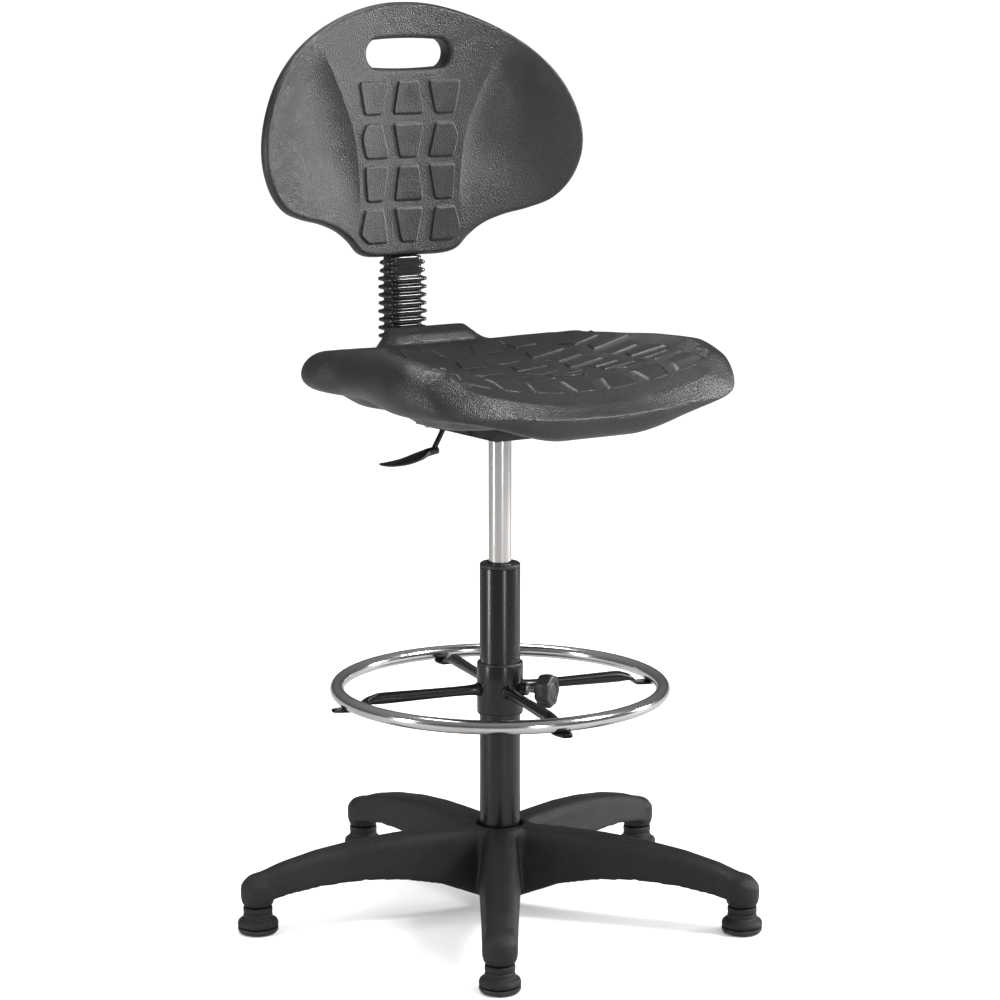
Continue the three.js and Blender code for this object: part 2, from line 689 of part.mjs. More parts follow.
function taperSocket() {
  const low = PAN_LOW - 1;
  return turned([
    [CYLINDER_RADIUS + GAP, low], [TAPER_SOCKET_RADIUS, low], [TAPER_SOCKET_RADIUS, CYLINDER_TOP - 4],
    [TAPER_SOCKET_RADIUS - 2, CYLINDER_TOP - 2], [CYLINDER_RADIUS + GAP, CYLINDER_TOP - 2],
    [CYLINDER_RADIUS + GAP, low],
  ], 24);
}

function seatBolt() {
  const headHigh = PLATE_LOW - GAP;
  const headLow = headHigh - 5;
  return turned([
    [0, headLow], [6.5, headLow], [7, headLow + 0.8], [7, headHigh], [BOLT_RADIUS, headHigh],
    [BOLT_RADIUS, SEAT_UNDERSIDE + BOARD_THICKNESS - 1], [0, SEAT_UNDERSIDE + BOARD_THICKNESS - 1],
  ], 12);
}

// ---- Lever -----------------------------------------------------------------------------------

const LEVER_Z = CYLINDER_TOP + VALVE_STAND + GAP + LEVER_RADIUS;
const LEVER_EYE_LENGTH = 12;
const LEVER_PIN_RADIUS = 1.6;
const PADDLE_ROOT = { x: -96, z: LEVER_Z - 34 };
const PADDLE_SLOPE = rad(9);

function leverRod() {
  const rod = barAlong([
    new THREE.Vector3(7, 0, LEVER_Z), new THREE.Vector3(LEVER_PIVOT_X, 0, LEVER_Z),
    new THREE.Vector3(-66, 0, LEVER_Z), new THREE.Vector3(-78, 0, LEVER_Z - 5),
    new THREE.Vector3(-87, 0, LEVER_Z - 19), new THREE.Vector3(PADDLE_ROOT.x, 0, PADDLE_ROOT.z),
  ], LEVER_RADIUS, 14, 8);
  const eye = new THREE.CylinderGeometry(LEVER_RADIUS + 1.4, LEVER_RADIUS + 1.4, LEVER_EYE_LENGTH, 16)
    .translate(LEVER_PIVOT_X, 0, LEVER_Z);
  const hole = new THREE.CylinderGeometry(
    LEVER_PIN_RADIUS + GAP, LEVER_PIN_RADIUS + GAP, 2 * LEVER_EYE_LENGTH, 12)
    .translate(LEVER_PIVOT_X, 0, LEVER_Z);
  return cut(join(rod, eye), hole);
}

// A flat grip that widens from the rod and then narrows to its tip, along -X.
function leverPaddle() {
  const stations = [
    [-6, 5.5, 4.6, 0], [8, 5.5, 4.6, 0], [20, 0.42 * PADDLE_WIDTH, 4, -1.5],
    [0.55 * PADDLE_LENGTH, 0.5 * PADDLE_WIDTH, 3.2, -3], [0.85 * PADDLE_LENGTH, 0.42 * PADDLE_WIDTH, 2.4, -1],
    [PADDLE_LENGTH, 0.24 * PADDLE_WIDTH, 1.4, 1.5],
  ];
  const sides = 12;
  const rings = stations.map(([along, halfWidth, halfHeight, lift]) => {
    const ring = [];
    for (let i = 0; i < sides; i += 1) {
      const angle = (2 * Math.PI * i) / sides;
      ring.push(new THREE.Vector3(-along, -halfWidth * Math.cos(angle), lift + halfHeight * Math.sin(angle)));
    }
    return ring;
  });
  const body = skinned(rings).rotateY(-PADDLE_SLOPE).translate(PADDLE_ROOT.x, 0, PADDLE_ROOT.z - 1);
  const drop = new THREE.CylinderGeometry(LEVER_RADIUS + GAP, LEVER_RADIUS + GAP, 60, 12);
  const tilt = Math.atan2(9, 15);
  return cut(body, drop.rotateX(Math.PI / 2).rotateY(tilt).translate(PADDLE_ROOT.x + 12, 0, PADDLE_ROOT.z + 20));
}

function leverBracket() {
  const ear = 2;
  const width = LEVER_EYE_LENGTH + 2 * GAP + 2 * ear;
  const high = PAN_TOP;
  const low = LEVER_Z - 7;
  const outer = block(11, width, high - low, LEVER_PIVOT_X, 0, (high + low) / 2);
  const mouth = block(13, LEVER_EYE_LENGTH + 2 * GAP, high - low, LEVER_PIVOT_X, 0, (high + low) / 2 - 2);
  const hole = new THREE.CylinderGeometry(
    LEVER_PIN_RADIUS + GAP, LEVER_PIN_RADIUS + GAP, 2 * width, 12)
    .translate(LEVER_PIVOT_X, 0, LEVER_Z);
  return cut(outer, mouth, hole);
}

// ---- Back support ----------------------------------------------------------------------------

const TILT_Z = PAN_LOW - 3;
const EAR = 4;

// The bar in side view: an eye at the pivot, a level run, a bend and an upright.
function backBar() {
  const half = BAR_THICKNESS / 2;
  const shape = new THREE.Shape();
  const levelLow = TILT_Z - half;
  const levelHigh = TILT_Z + half;
  const inner = BAR_BEND - half;
  const outer = BAR_BEND + half;
  const bendY = SPINE_Y - BAR_BEND;
  const bendZ = TILT_Z + BAR_BEND;
  shape.moveTo(TILT_PIVOT_Y, levelLow);
  shape.lineTo(bendY, levelLow);
  shape.absarc(bendY, bendZ, outer, -Math.PI / 2, 0, false);
  shape.lineTo(SPINE_Y + half, BAR_TOP);
  shape.lineTo(SPINE_Y - half, BAR_TOP);
  shape.lineTo(SPINE_Y - half, bendZ);
  shape.absarc(bendY, bendZ, inner, 0, -Math.PI / 2, true);
  shape.lineTo(TILT_PIVOT_Y, levelHigh);
  const options = { depth: BAR_WIDTH, bevelEnabled: false, curveSegments: 8 };
  const bar = new THREE.ExtrudeGeometry(shape, options)
    .translate(0, 0, -BAR_WIDTH / 2).rotateX(Math.PI / 2).rotateZ(Math.PI / 2);
  const eye = crossPin(TILT_BOLT_RADIUS + 4, BAR_WIDTH, 0, TILT_PIVOT_Y, TILT_Z);
  return cut(join(bar, eye), crossPin(TILT_BOLT_RADIUS + RUNNING, 2 * BAR_WIDTH, 0, TILT_PIVOT_Y, TILT_Z));
}

// A U-shaped bracket behind the mechanism, with an ear on each side of the bar.
function backBracket() {
  const width = BAR_WIDTH + 2 * RUNNING + 2 * EAR;
  const front = PAN_DEPTH / 2 + GAP;
  const back = TILT_PIVOT_Y + 12;
  const low = TILT_Z - 9.5;
  const depth = back - front;
  const middleY = (front + back) / 2;
  const body = block(width, depth, PAN_TOP - low, 0, middleY, (PAN_TOP + low) / 2);
  const mouth = block(
    width - 2 * EAR, depth + 2, PAN_TOP - low + 2, 0, middleY + EAR, (PAN_TOP + low) / 2);
  const hole = crossPin(TILT_BOLT_RADIUS + GAP, 2 * width, 0, TILT_PIVOT_Y, TILT_Z);
  return cut(body, mouth, hole);
}

function bellows() {
  const profile = [];
  const inside = Math.hypot(BAR_WIDTH, BAR_THICKNESS) / 2 + 2;
  const cuff = 7;
  const pitch = (BELLOWS_TOP - BELLOWS_BOTTOM - 2 * cuff) / BELLOWS_RIBS;
  profile.push([inside, BELLOWS_BOTTOM], [BELLOWS_WAIST, BELLOWS_BOTTOM]);
  for (let i = 0; i < BELLOWS_RIBS; i += 1) {
    const low = BELLOWS_BOTTOM + cuff + pitch * i;
    profile.push([BELLOWS_WAIST, low], [BELLOWS_RADIUS, low + 0.38 * pitch]);
    profile.push([BELLOWS_RADIUS, low + 0.62 * pitch]);
  }
  profile.push([BELLOWS_WAIST, BELLOWS_TOP - cuff], [BELLOWS_WAIST, BELLOWS_TOP]);
  profile.push([inside, BELLOWS_TOP], [inside, BELLOWS_BOTTOM]);
  return turned(profile, 16).translate(0, SPINE_Y, 0);
}

// ---- Backrest --------------------------------------------------------------------------------

// Half outline from the top middle to the bottom middle, as shares of the half width and as
// drops below the top.
const BACK_OUTLINE = [
  [0, 0], [0.175, 3], [0.39, 16], [0.6, 38], [0.76, 64], [0.885, 96], [0.97, 136], [1, 172],
  [0.985, 200], [0.93, 228], [0.84, 249], [0.72, 260], [0.58, 268], [0.46, 279], [0.37, 294],
  [0.31, 308], [0.25, 313], [0, 314],
];

const backRimAt = (() => {
  const half = BACK_OUTLINE.map(([x, drop]) => new THREE.Vector3(x * BACK_HALF_WIDTH, 0, BACK_TOP - drop));
  const other = half.slice(1, -1).reverse().map((p) => new THREE.Vector3(-p.x, 0, p.z));
  return new THREE.CatmullRomCurve3([...half, ...other], true, "centripetal");
})();

const backFront = (x, z) => BACK_FACE_Y
  - WING_SWEEP * Math.pow(Math.abs(x) / BACK_HALF_WIDTH, 2)
  + 6 * smooth(Math.abs(x), 60, 110) * (1 - smooth(Math.abs(x), 110, 230)) * (1 - smooth(z, 1000, 1070));

// The shell is a frame around the hand slot: each ring runs from the slot's edge over the front
// face, round the rim and back over the rear face.
function backShell() {
  const around = 60;
  const slotRound = SLOT_HEIGHT / 2;
  const slotRun = SLOT_LENGTH / 2 - slotRound;
  const edge = BACK_THICKNESS / 2;
  const rings = [];
  for (let i = 0; i < around; i += 1) {
    const rim = backRimAt.getPointAt(i / around);
    const angle = Math.atan2(rim.z - SLOT_Z, rim.x);
    const slot = new THREE.Vector3(
      slotRun * Math.sign(Math.cos(angle)) * Math.min(1, 2.2 * Math.abs(Math.cos(angle)))
        + slotRound * Math.cos(angle), 0, SLOT_Z + slotRound * Math.sin(angle));
    const between = (inset, share) => {
      const out = rim.clone().sub(slot);
      const length = out.length();
      const run = inset + (length - 2 * inset) * share;
      return slot.clone().addScaledVector(out, run / length);
    };
    const put = (p, depth) => new THREE.Vector3(p.x, backFront(p.x, p.z) + depth * BACK_THICKNESS, p.z);
    const ring = [];
    for (const share of [0, 0.2, 0.45, 0.7, 0.88, 1]) ring.push(put(between(6, share), 0));
    ring.push(put(between(1.2, 1), 0.18), put(between(0, 1), 0.4), put(between(4, 1), 0.72));
    ring.push(put(between(edge, 1), 0.95));
    for (const share of [0.8, 0.4, 0]) ring.push(put(between(edge - 6, share), 1));
    ring.push(put(between(0, 0), 0.8), put(between(0, 0), 0.2));
    rings.push(ring);
  }
  const shell = looped(rings);
  const pocketFront = SPINE_Y - GUIDE_OUTER_DEPTH / 2 - GAP;
  const pocket = block(
    PLATE_BACK_WIDTH + 2 * GAP, 60, POCKET_TOP - BACK_TOP + 400,
    0, pocketFront + 30, (POCKET_TOP + BACK_TOP - 400) / 2);
  return cut(shell, pocket);
}

const GUIDE_WALL = 2.5;
const GUIDE_OUTER_DEPTH = BAR_THICKNESS + 2 * RUNNING + 2 * GUIDE_WALL;
const GUIDE_LOW = 806;
const GUIDE_HIGH = 886;
const PLATE_BACK_WIDTH = BAR_WIDTH + 2 * RUNNING + 2 * GUIDE_WALL + 12;
const POCKET_TOP = 930;
const BACK_CLAMP_Z = 846;

// A box guide that runs on the bar, bored for the clamp screw.
function backGuide() {
  const width = BAR_WIDTH + 2 * RUNNING;
  const middle = (GUIDE_LOW + GUIDE_HIGH) / 2;
  const outer = block(
    width + 2 * GUIDE_WALL, GUIDE_OUTER_DEPTH, GUIDE_HIGH - GUIDE_LOW, 0, SPINE_Y, middle);
  const inner = block(
    width, BAR_THICKNESS + 2 * RUNNING, GUIDE_HIGH - GUIDE_LOW + 2, 0, SPINE_Y, middle);
  return cut(outer, inner, backClampHole());
}

function backClampHole() {
  return new THREE.CylinderGeometry(SCREW_RADIUS + GAP, SCREW_RADIUS + GAP, 40, 16)
    .translate(0, SPINE_Y + BAR_THICKNESS / 2 + 20 + RUNNING, BACK_CLAMP_Z);
}

// A flat strap over the guide and the shell's back.
function backPlate() {
  const y = SPINE_Y + GUIDE_OUTER_DEPTH / 2 + GAP + PLATE_THICKNESS / 2;
  const low = GUIDE_LOW;
  const high = POCKET_TOP - 4;
  const strap = block(PLATE_BACK_WIDTH, PLATE_THICKNESS, high - low, 0, y, (low + high) / 2);
  return cut(strap, backClampHole());
}

// ---- Assembly --------------------------------------------------------------------------------

function addBase() {
  piece(chair, "star_base", starBase(), nylon());
  for (let i = 0; i < ARM_COUNT; i += 1) {
    const arm = turnedGroup(chair, FIRST_ARM + (360 / ARM_COUNT) * i);
    const body = piece(arm, `glide_body_${i + 1}`, glideBody(), nylon());
    const sole = piece(arm, `glide_sole_${i + 1}`, glideSole(), blackPlastic());
    body.position.x = GLIDE_CIRCLE;
    sole.position.x = GLIDE_CIRCLE;
  }
  piece(chair, "column_tube", columnTube(), blackPaint());
  piece(chair, "guide_bush", guideBush(), blackPlastic());
}

function addSpindle() {
  const { washerLow, cageLow, washerHigh, bumperLow } = bearingStack();
  const bore = ROD_RADIUS + RUNNING;
  const rodTop = ROD_BOTTOM + ROD_LENGTH;
  piece(chair, "bearing_washer_lower", ringOf(bore, WASHER_OUTER, washerLow, washerLow + WASHER), steel());
  piece(chair, "ball_cage", ringOf(bore + 1, WASHER_OUTER - 1, cageLow, cageLow + BALL_HEIGHT), steel());
  piece(chair, "bearing_washer_upper", ringOf(bore, WASHER_OUTER, washerHigh, washerHigh + WASHER), steel());
  piece(chair, "bumper", ringOf(bore, WASHER_OUTER - 3, bumperLow, bumperLow + BUMPER_HEIGHT), rubber());
  piece(chair, "piston_rod", discOf(ROD_RADIUS, ROD_BOTTOM, rodTop, 16), steel());
  const clipHigh = COLUMN_FOOT - GAP;
  piece(chair, "rod_clip", ringOf(ROD_RADIUS + GAP, ROD_RADIUS + 5, clipHigh - 2.5, clipHigh), steel());
  const pistonOuter = CYLINDER_RADIUS - CYLINDER_WALL - RUNNING;
  piece(chair, "piston", ringOf(ROD_RADIUS + GAP, pistonOuter, rodTop - 14, rodTop - 2), steel());
}

function addFootRing() {
  const upper = piece(chair, "ring_bush_upper", ringBush(), blackPlastic());
  upper.position.z = SLEEVE_HIGH;
  const lower = piece(chair, "ring_bush_lower", ringBush(), blackPlastic());
  lower.rotation.x = Math.PI;
  lower.position.z = SLEEVE_LOW;
  piece(chair, "ring_sleeve", ringSleeve(), blackPaint());
  const ring = piece(chair, "foot_ring", new THREE.TorusGeometry(RING_RADIUS, RING_TUBE, 10, 54), chrome());
  ring.position.z = RING_HEIGHT;
  for (let i = 0; i < SPOKE_COUNT; i += 1) {
    const arm = turnedGroup(chair, FIRST_SPOKE + (360 / SPOKE_COUNT) * i);
    piece(arm, `spoke_${i + 1}`, spoke(), blackPaint());
  }
  const clamp = turnedGroup(chair, RING_CLAMP_ANGLE);
  const bossStart = SLEEVE_OUTER + GAP;
  const boss = ringOf(SCREW_RADIUS + GAP, SCREW_RADIUS + 4, bossStart, bossStart + 8, 16);
  piece(clamp, "clamp_boss", boss.rotateY(Math.PI / 2).translate(0, 0, RING_HEIGHT), blackPaint());
  const line = new THREE.Group();
  line.rotation.y = Math.PI / 2;
  line.position.set(COLUMN_RADIUS + GAP, 0, RING_HEIGHT);
  clamp.add(line);
  clampSet(line, "ring_clamp", 27);
}

function addLift() {
  piece(chair, "gas_cylinder", gasCylinder(), chrome());
  piece(chair, "taper_socket", taperSocket(), blackPaint());
  piece(chair, "mechanism_pan", mechanismPan(), blackPaint());
  piece(chair, "seat_plate", seatPlate(), blackPaint());
  piece(chair, "seat_board", seatBoard(), board());
  piece(chair, "seat", seatShell(), foamSkin());
  boltPlaces().forEach(([x, y], i) => {
    const bolt = piece(chair, `seat_bolt_${i + 1}`, seatBolt(), steel());
    bolt.position.set(x, y, 0);
  });
  const buttonTop = CYLINDER_TOP + VALVE_STAND;
  piece(chair, "valve_button", discOf(VALVE_RADIUS, CYLINDER_TOP - 7, buttonTop, 16), steel());
}

function addLever() {
  piece(chair, "lever_bracket", leverBracket(), steel());
  const length = LEVER_EYE_LENGTH + 8;
  const pin = new THREE.CylinderGeometry(LEVER_PIN_RADIUS, LEVER_PIN_RADIUS, length, 12);
  piece(chair, "lever_pin", pin.translate(LEVER_PIVOT_X, 0, LEVER_Z), steel());
  piece(chair, "lever_rod", leverRod(), blackPaint());
  piece(chair, "lever_paddle", leverPaddle(), blackPlastic());
}

function addBackSupport() {
  piece(chair, "back_bracket", backBracket(), blackPaint());
  piece(chair, "back_bar", backBar(), blackPaint());
  piece(chair, "bellows", bellows(), rubber());
  const earFace = BAR_WIDTH / 2 + RUNNING + EAR;
  const line = new THREE.Group();
  line.rotation.y = Math.PI / 2;
  line.position.set(earFace + GAP, TILT_PIVOT_Y, TILT_Z);
  chair.add(line);
  const washerBore = TILT_BOLT_RADIUS + GAP;
  piece(line, "tilt_washer", ringOf(washerBore, 11, 0, 2), steel());
  const boltLow = -2 * earFace - GAP - 6;
  const headLow = boltLow - 1;
  const bolt = turned([
    [0, headLow - 4], [8, headLow - 4], [8, headLow], [TILT_BOLT_RADIUS, headLow],
    [TILT_BOLT_RADIUS, 26], [0, 26],
  ], 16);
  piece(line, "tilt_bolt", bolt, steel());
  const knob = piece(line, "tilt_knob", knobBody(TILT_BOLT_RADIUS + GAP, 14), blackPlastic());
  knob.position.z = 13;
}

function addBackrest() {
  piece(chair, "back_shell", backShell(), foamSkin());
  piece(chair, "back_guide", backGuide(), blackPaint());
  piece(chair, "back_plate", backPlate(), blackPaint());
  const line = new THREE.Group();
  line.rotation.x = -Math.PI / 2;
  line.position.set(0, SPINE_Y + BAR_THICKNESS / 2 + GAP, BACK_CLAMP_Z);
  chair.add(line);
  clampSet(line, "back_clamp", 26);
}

addBase();
addSpindle();
addFootRing();
addLift();
addLever();
addBackSupport();
addBackrest();

// The origin is the middle of the footprint, to the whole millimetre.
const footprint = new THREE.Box3().setFromObject(chair, true).getCenter(new THREE.Vector3());
chair.position.set(-Math.round(footprint.x), -Math.round(footprint.y), 0);

export default chair;
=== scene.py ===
"""Looks of a draughtsman's chair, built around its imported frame.

The chair has a star base on glides, a gas-lift column with a clamped foot ring, a moulded seat
and a winged backrest on a bar inside rubber bellows. Everything is in metres, in the frame's axes.
"""

import json
import logging
import math
from dataclasses import dataclass, field
from enum import Enum
from typing import Sequence

import bmesh
import bpy
import numpy as np
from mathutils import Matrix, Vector


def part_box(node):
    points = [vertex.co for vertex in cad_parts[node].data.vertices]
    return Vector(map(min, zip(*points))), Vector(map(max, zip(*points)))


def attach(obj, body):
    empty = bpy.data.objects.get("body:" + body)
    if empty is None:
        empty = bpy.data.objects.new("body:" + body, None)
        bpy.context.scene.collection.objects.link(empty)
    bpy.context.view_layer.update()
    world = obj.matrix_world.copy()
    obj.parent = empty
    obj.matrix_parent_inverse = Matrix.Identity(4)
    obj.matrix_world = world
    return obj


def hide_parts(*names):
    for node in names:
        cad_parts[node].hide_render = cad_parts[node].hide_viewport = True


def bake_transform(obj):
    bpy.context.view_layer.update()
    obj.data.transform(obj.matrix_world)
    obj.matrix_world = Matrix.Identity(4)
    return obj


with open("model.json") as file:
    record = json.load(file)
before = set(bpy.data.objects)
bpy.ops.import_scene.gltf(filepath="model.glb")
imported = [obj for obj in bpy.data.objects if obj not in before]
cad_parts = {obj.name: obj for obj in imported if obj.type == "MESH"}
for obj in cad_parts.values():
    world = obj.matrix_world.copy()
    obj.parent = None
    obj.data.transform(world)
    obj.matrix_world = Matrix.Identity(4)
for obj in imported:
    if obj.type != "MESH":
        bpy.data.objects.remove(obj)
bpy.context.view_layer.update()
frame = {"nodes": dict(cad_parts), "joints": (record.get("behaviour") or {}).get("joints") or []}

LOG = logging.getLogger("drafting_chair")
MM = 0.001
UP = Vector((0, 0, 1))

Point2 = tuple[float, float]
Polygon = Sequence[Point2]
Colour = tuple[float, float, float]


class Body(str, Enum):
    """Rigid bodies of the chair that pieces ride on."""

    BASE = "base"
    SPINDLE = "spindle"
    LIFT = "lift"
    VALVE = "valve"
    LEVER = "lever"
    BACK_SUPPORT = "back_support"
    TILT_LOCK = "tilt_lock"
    TILT_SCREW = "tilt_screw"
    BACKREST = "backrest"
    BACK_LOCK = "back_lock"
    BACK_SCREW = "back_screw"
    RING_SLIDER = "ring_slider"
    FOOTRING = "footring"
    RING_LOCK = "ring_lock"
    RING_SCREW = "ring_screw"


class Slot(str, Enum):
    """Material slots of the record."""

    POLYURETHANE = "polyurethane"
    NYLON = "nylon"
    PAINT = "black_paint"
    PLASTIC = "black_plastic"
    CHROME = "chrome"
    STEEL = "steel"
    RUBBER = "rubber"
    BOARD = "board"


# ---- Number helpers ------------------------------------------------------------------------


def smooth(value: np.ndarray | float, low: float, high: float) -> np.ndarray:
    """Ease from 0 at low to 1 at high.

    Args:
        value: Where to read the step.
        low: Where the step starts.
        high: Where it ends.

    Returns:
        The eased share, the same shape as value.
    """
    share = np.clip((np.asarray(value, float) - low) / (high - low), 0.0, 1.0)
    return share * share * (3 - 2 * share)


def mix(start: np.ndarray | float, end: np.ndarray | float, share: np.ndarray | float) -> np.ndarray:
    """Blend two values by a share from 0 to 1."""
    return start + (end - start) * share


def read_table(table: Sequence[Point2], at: np.ndarray | float) -> np.ndarray:
    """Read a height table between its rows, half straight and half eased.

    Args:
        table: Rows of place and height, in any order.
        at: Places to read.

    Returns:
        Heights at those places.
    """
    rows = np.array(sorted(table), float)
    places, heights = rows[:, 0], rows[:, 1]
    at = np.clip(np.asarray(at, float), places[0], places[-1])
    row = np.clip(np.searchsorted(places, at, side="right") - 1, 0, len(places) - 2)
    share = (at - places[row]) / (places[row + 1] - places[row])
    eased = 0.5 * share + 0.5 * share * share * (3 - 2 * share)
    return heights[row] + (heights[row + 1] - heights[row]) * eased


def spline(points: Sequence[Point2], steps: int, closed: bool) -> np.ndarray:
    """Draw a centripetal Catmull-Rom curve through points.

    Args:
        points: Points that the curve passes through.
        steps: Samples for each stretch between two points.
        closed: Whether the curve returns to its first point.

    Returns:
        An array of samples along the curve.
    """
    nodes = np.array(points, float)
    count = len(nodes)
    if closed:
        padded = np.vstack([nodes[-1], nodes, nodes[0], nodes[1]])
    else:
        padded = np.vstack([2 * nodes[0] - nodes[1], nodes, 2 * nodes[-1] - nodes[-2]])
    samples = []
    for i in range(count if closed else count - 1):
        p0, p1, p2, p3 = padded[i], padded[i + 1], padded[i + 2], padded[i + 3]
        t1 = max(np.linalg.norm(p1 - p0), 1e-9) ** 0.5
        t2 = t1 + max(np.linalg.norm(p2 - p1), 1e-9) ** 0.5
        t3 = t2 + max(np.linalg.norm(p3 - p2), 1e-9) ** 0.5
        t = np.linspace(t1, t2, steps, endpoint=False)[:, None]
        a1 = (t1 - t) / t1 * p0 + t / t1 * p1
        a2 = (t2 - t) / (t2 - t1) * p1 + (t - t1) / (t2 - t1) * p2
        a3 = (t3 - t) / (t3 - t2) * p2 + (t - t2) / (t3 - t2) * p3
        b1 = (t2 - t) / t2 * a1 + t / t2 * a2
        b2 = (t3 - t) / (t3 - t1) * a2 + (t - t1) / (t3 - t1) * a3
        samples.append((t2 - t) / (t2 - t1) * b1 + (t - t1) / (t2 - t1) * b2)
    if not closed:
        samples.append(nodes[-1:])
    return np.vstack(samples)


def respace(curve: np.ndarray, count: int, weight: np.ndarray | None = None) -> np.ndarray:
    """Place points along a closed curve, evenly or crowded where the weight is high.

    Args:
        curve: Samples along the closed curve.
        count: How many points to place.
        weight: How densely to place them at each sample.

    Returns:
        The placed points.
    """
    looped = np.vstack([curve, curve[:1]])
    run = np.linalg.norm(np.diff(looped, axis=0), axis=1)
    if weight is not None:
        run = run * weight
    along = np.concatenate([[0.0], np.cumsum(run)])
    wanted = np.linspace(0.0, along[-1], count, endpoint=False)
    return np.stack([np.interp(wanted, along, looped[:, k]) for k in range(looped.shape[1])], axis=1)


def plate_mask(
    x: np.ndarray, y: np.ndarray, polygon: Polygon, corner: float, edge: float
) -> np.ndarray:
    """Tell how far inside a rounded convex plate each point is.

    Args:
        x: First plan coordinates.
        y: Second plan coordinates.
        polygon: Corners of the plate, anticlockwise.
        corner: Softness of the corners.
        edge: Width of the sloped edge.

    Returns:
        0 outside the plate, 1 on it, and between them on the sloped edge.
    """
    total = np.zeros_like(x)
    for i, (x0, y0) in enumerate(polygon):
        x1, y1 = polygon[(i + 1) % len(polygon)]
        length = math.hypot(x1 - x0, y1 - y0)
        inward = ((x1 - x0) * (y - y0) - (y1 - y0) * (x - x0)) / length
        total += np.exp(-np.clip(inward / corner, -40, 40))
    distance = -corner * np.log(total)
    return smooth(distance, -edge / 2, edge / 2)


# ---- Mesh helpers --------------------------------------------------------------------------


def node_centre(node: str) -> Vector:
    """Middle of a frame node's box."""
    low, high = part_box(node)
    return (low + high) / 2


def ring_faces(ring_count: int, around: int, close_rings: bool) -> list[tuple[int, int, int, int]]:
    """Quads between neighbouring rings of points.

    Args:
        ring_count: How many rings there are.
        around: Points in each ring.
        close_rings: Whether the last ring joins the first.

    Returns:
        The faces.
    """
    faces = []
    for i in range(ring_count if close_rings else ring_count - 1):
        here, there = i * around, ((i + 1) % ring_count) * around
        for j in range(around):
            k = (j + 1) % around
            faces.append((here + j, here + k, there + k, there + j))
    return faces


def rounded(profile: Sequence[Point2], radius: float, steps: int = 3) -> list[Point2]:
    """Round the corners of an open or closed profile.

    Args:
        profile: Corners of the profile.
        radius: How far from each corner the rounding starts.
        steps: Stretches in each rounded corner.

    Returns:
        The profile with its corners rounded.
    """
    points = [Vector(p) for p in profile]
    closed = (points[0] - points[-1]).length < 1e-9
    if closed:
        points = points[:-1]
    result: list[Point2] = []
    for i, corner in enumerate(points):
        if not closed and i in (0, len(points) - 1):
            result.append(tuple(corner))
            continue
        before, after = points[i - 1], points[(i + 1) % len(points)]
        back, ahead = before - corner, after - corner
        reach = min(radius, 0.45 * back.length, 0.45 * ahead.length)
        start, end = corner + back.normalized() * reach, corner + ahead.normalized() * reach
        for step in range(steps + 1):
            t = step / steps
            result.append(tuple(start * (1 - t) ** 2 + corner * 2 * t * (1 - t) + end * t * t))
    if closed:
        result.append(result[0])
    return result


def turned(profile: Sequence[Point2], around: int) -> tuple[np.ndarray, list[tuple[int, ...]]]:
    """Turn a profile of radius and height about the z axis.

    Args:
        profile: Radius and height pairs, upwards on the outside, closed or from axis to axis.
        around: Points round the axis.

    Returns:
        Points and faces.
    """
    rows = list(profile)
    closed = math.dist(rows[0], rows[-1]) < 1e-9
    if closed:
        rows = rows[:-1]
    angles = circle_angles(around)
    points = [
        (max(r, 0.0) * math.cos(a), max(r, 0.0) * math.sin(a), z)
        for r, z in rows
        for a in angles
    ]
    faces: list[tuple[int, ...]] = list(ring_faces(len(rows), around, closed))
    return np.array(points), faces


def lofted(rings: np.ndarray, cap: bool = True) -> tuple[np.ndarray, list[tuple[int, ...]]]:
    """Skin rings of points, with a fan over each end.

    Args:
        rings: Rings by points by coordinates.
        cap: Whether both ends are closed.

    Returns:
        Points and faces.
    """
    count, around = rings.shape[:2]
    points = rings.reshape(-1, 3)
    faces: list[tuple[int, ...]] = list(ring_faces(count, around, False))
    if cap:
        tips = np.array([rings[0].mean(axis=0), rings[-1].mean(axis=0)])
        first, last = len(points), len(points) + 1
        points = np.vstack([points, tips])
        end = (count - 1) * around
        for j in range(around):
            k = (j + 1) % around
            faces.append((k, j, first))
            faces.append((end + j, end + k, last))
    return points, faces


def tidy_mesh(piece: bpy.types.Object, merge: bool = True) -> None:
    """Turn all faces outwards and shade them smooth.

    Args:
        piece: The piece.
        merge: Whether doubled points are merged first.
    """
    shape = bmesh.new()
    shape.from_mesh(piece.data)
    if merge:
        bmesh.ops.remove_doubles(shape, verts=shape.verts, dist=1e-6)
        bmesh.ops.dissolve_degenerate(shape, edges=shape.edges, dist=1e-7)
    bmesh.ops.recalc_face_normals(shape, faces=shape.faces)
    shape.to_mesh(piece.data)
    shape.free()
    piece.data.update()
    piece.data.shade_smooth()


def bake_modifiers(piece: bpy.types.Object) -> None:
    """Replace the piece's mesh with what its modifiers make of it."""
    graph = bpy.context.evaluated_depsgraph_get()
    mesh = bpy.data.meshes.new_from_object(piece.evaluated_get(graph))
    piece.modifiers.clear()
    piece.data = mesh


def facing(direction: Vector) -> np.ndarray:
    """Transposed matrix that turns rows of points from the z axis to a direction."""
    return np.array(UP.rotation_difference(direction).to_matrix()).T


def superellipse(
    wide: float, tall: float, sides: np.ndarray, power: float
) -> tuple[np.ndarray, np.ndarray]:
    """Rounded oblong outline.

    Args:
        wide: Half its width.
        tall: Half its height.
        sides: Angles of its points.
        power: Exponent of cosine and sine; 1 gives an ellipse, less gives fuller corners.

    Returns:
        Both coordinates of its points.
    """
    c, s = np.cos(sides), np.sin(sides)
    return wide * np.sign(c) * np.abs(c) ** power, tall * np.sign(s) * np.abs(s) ** power


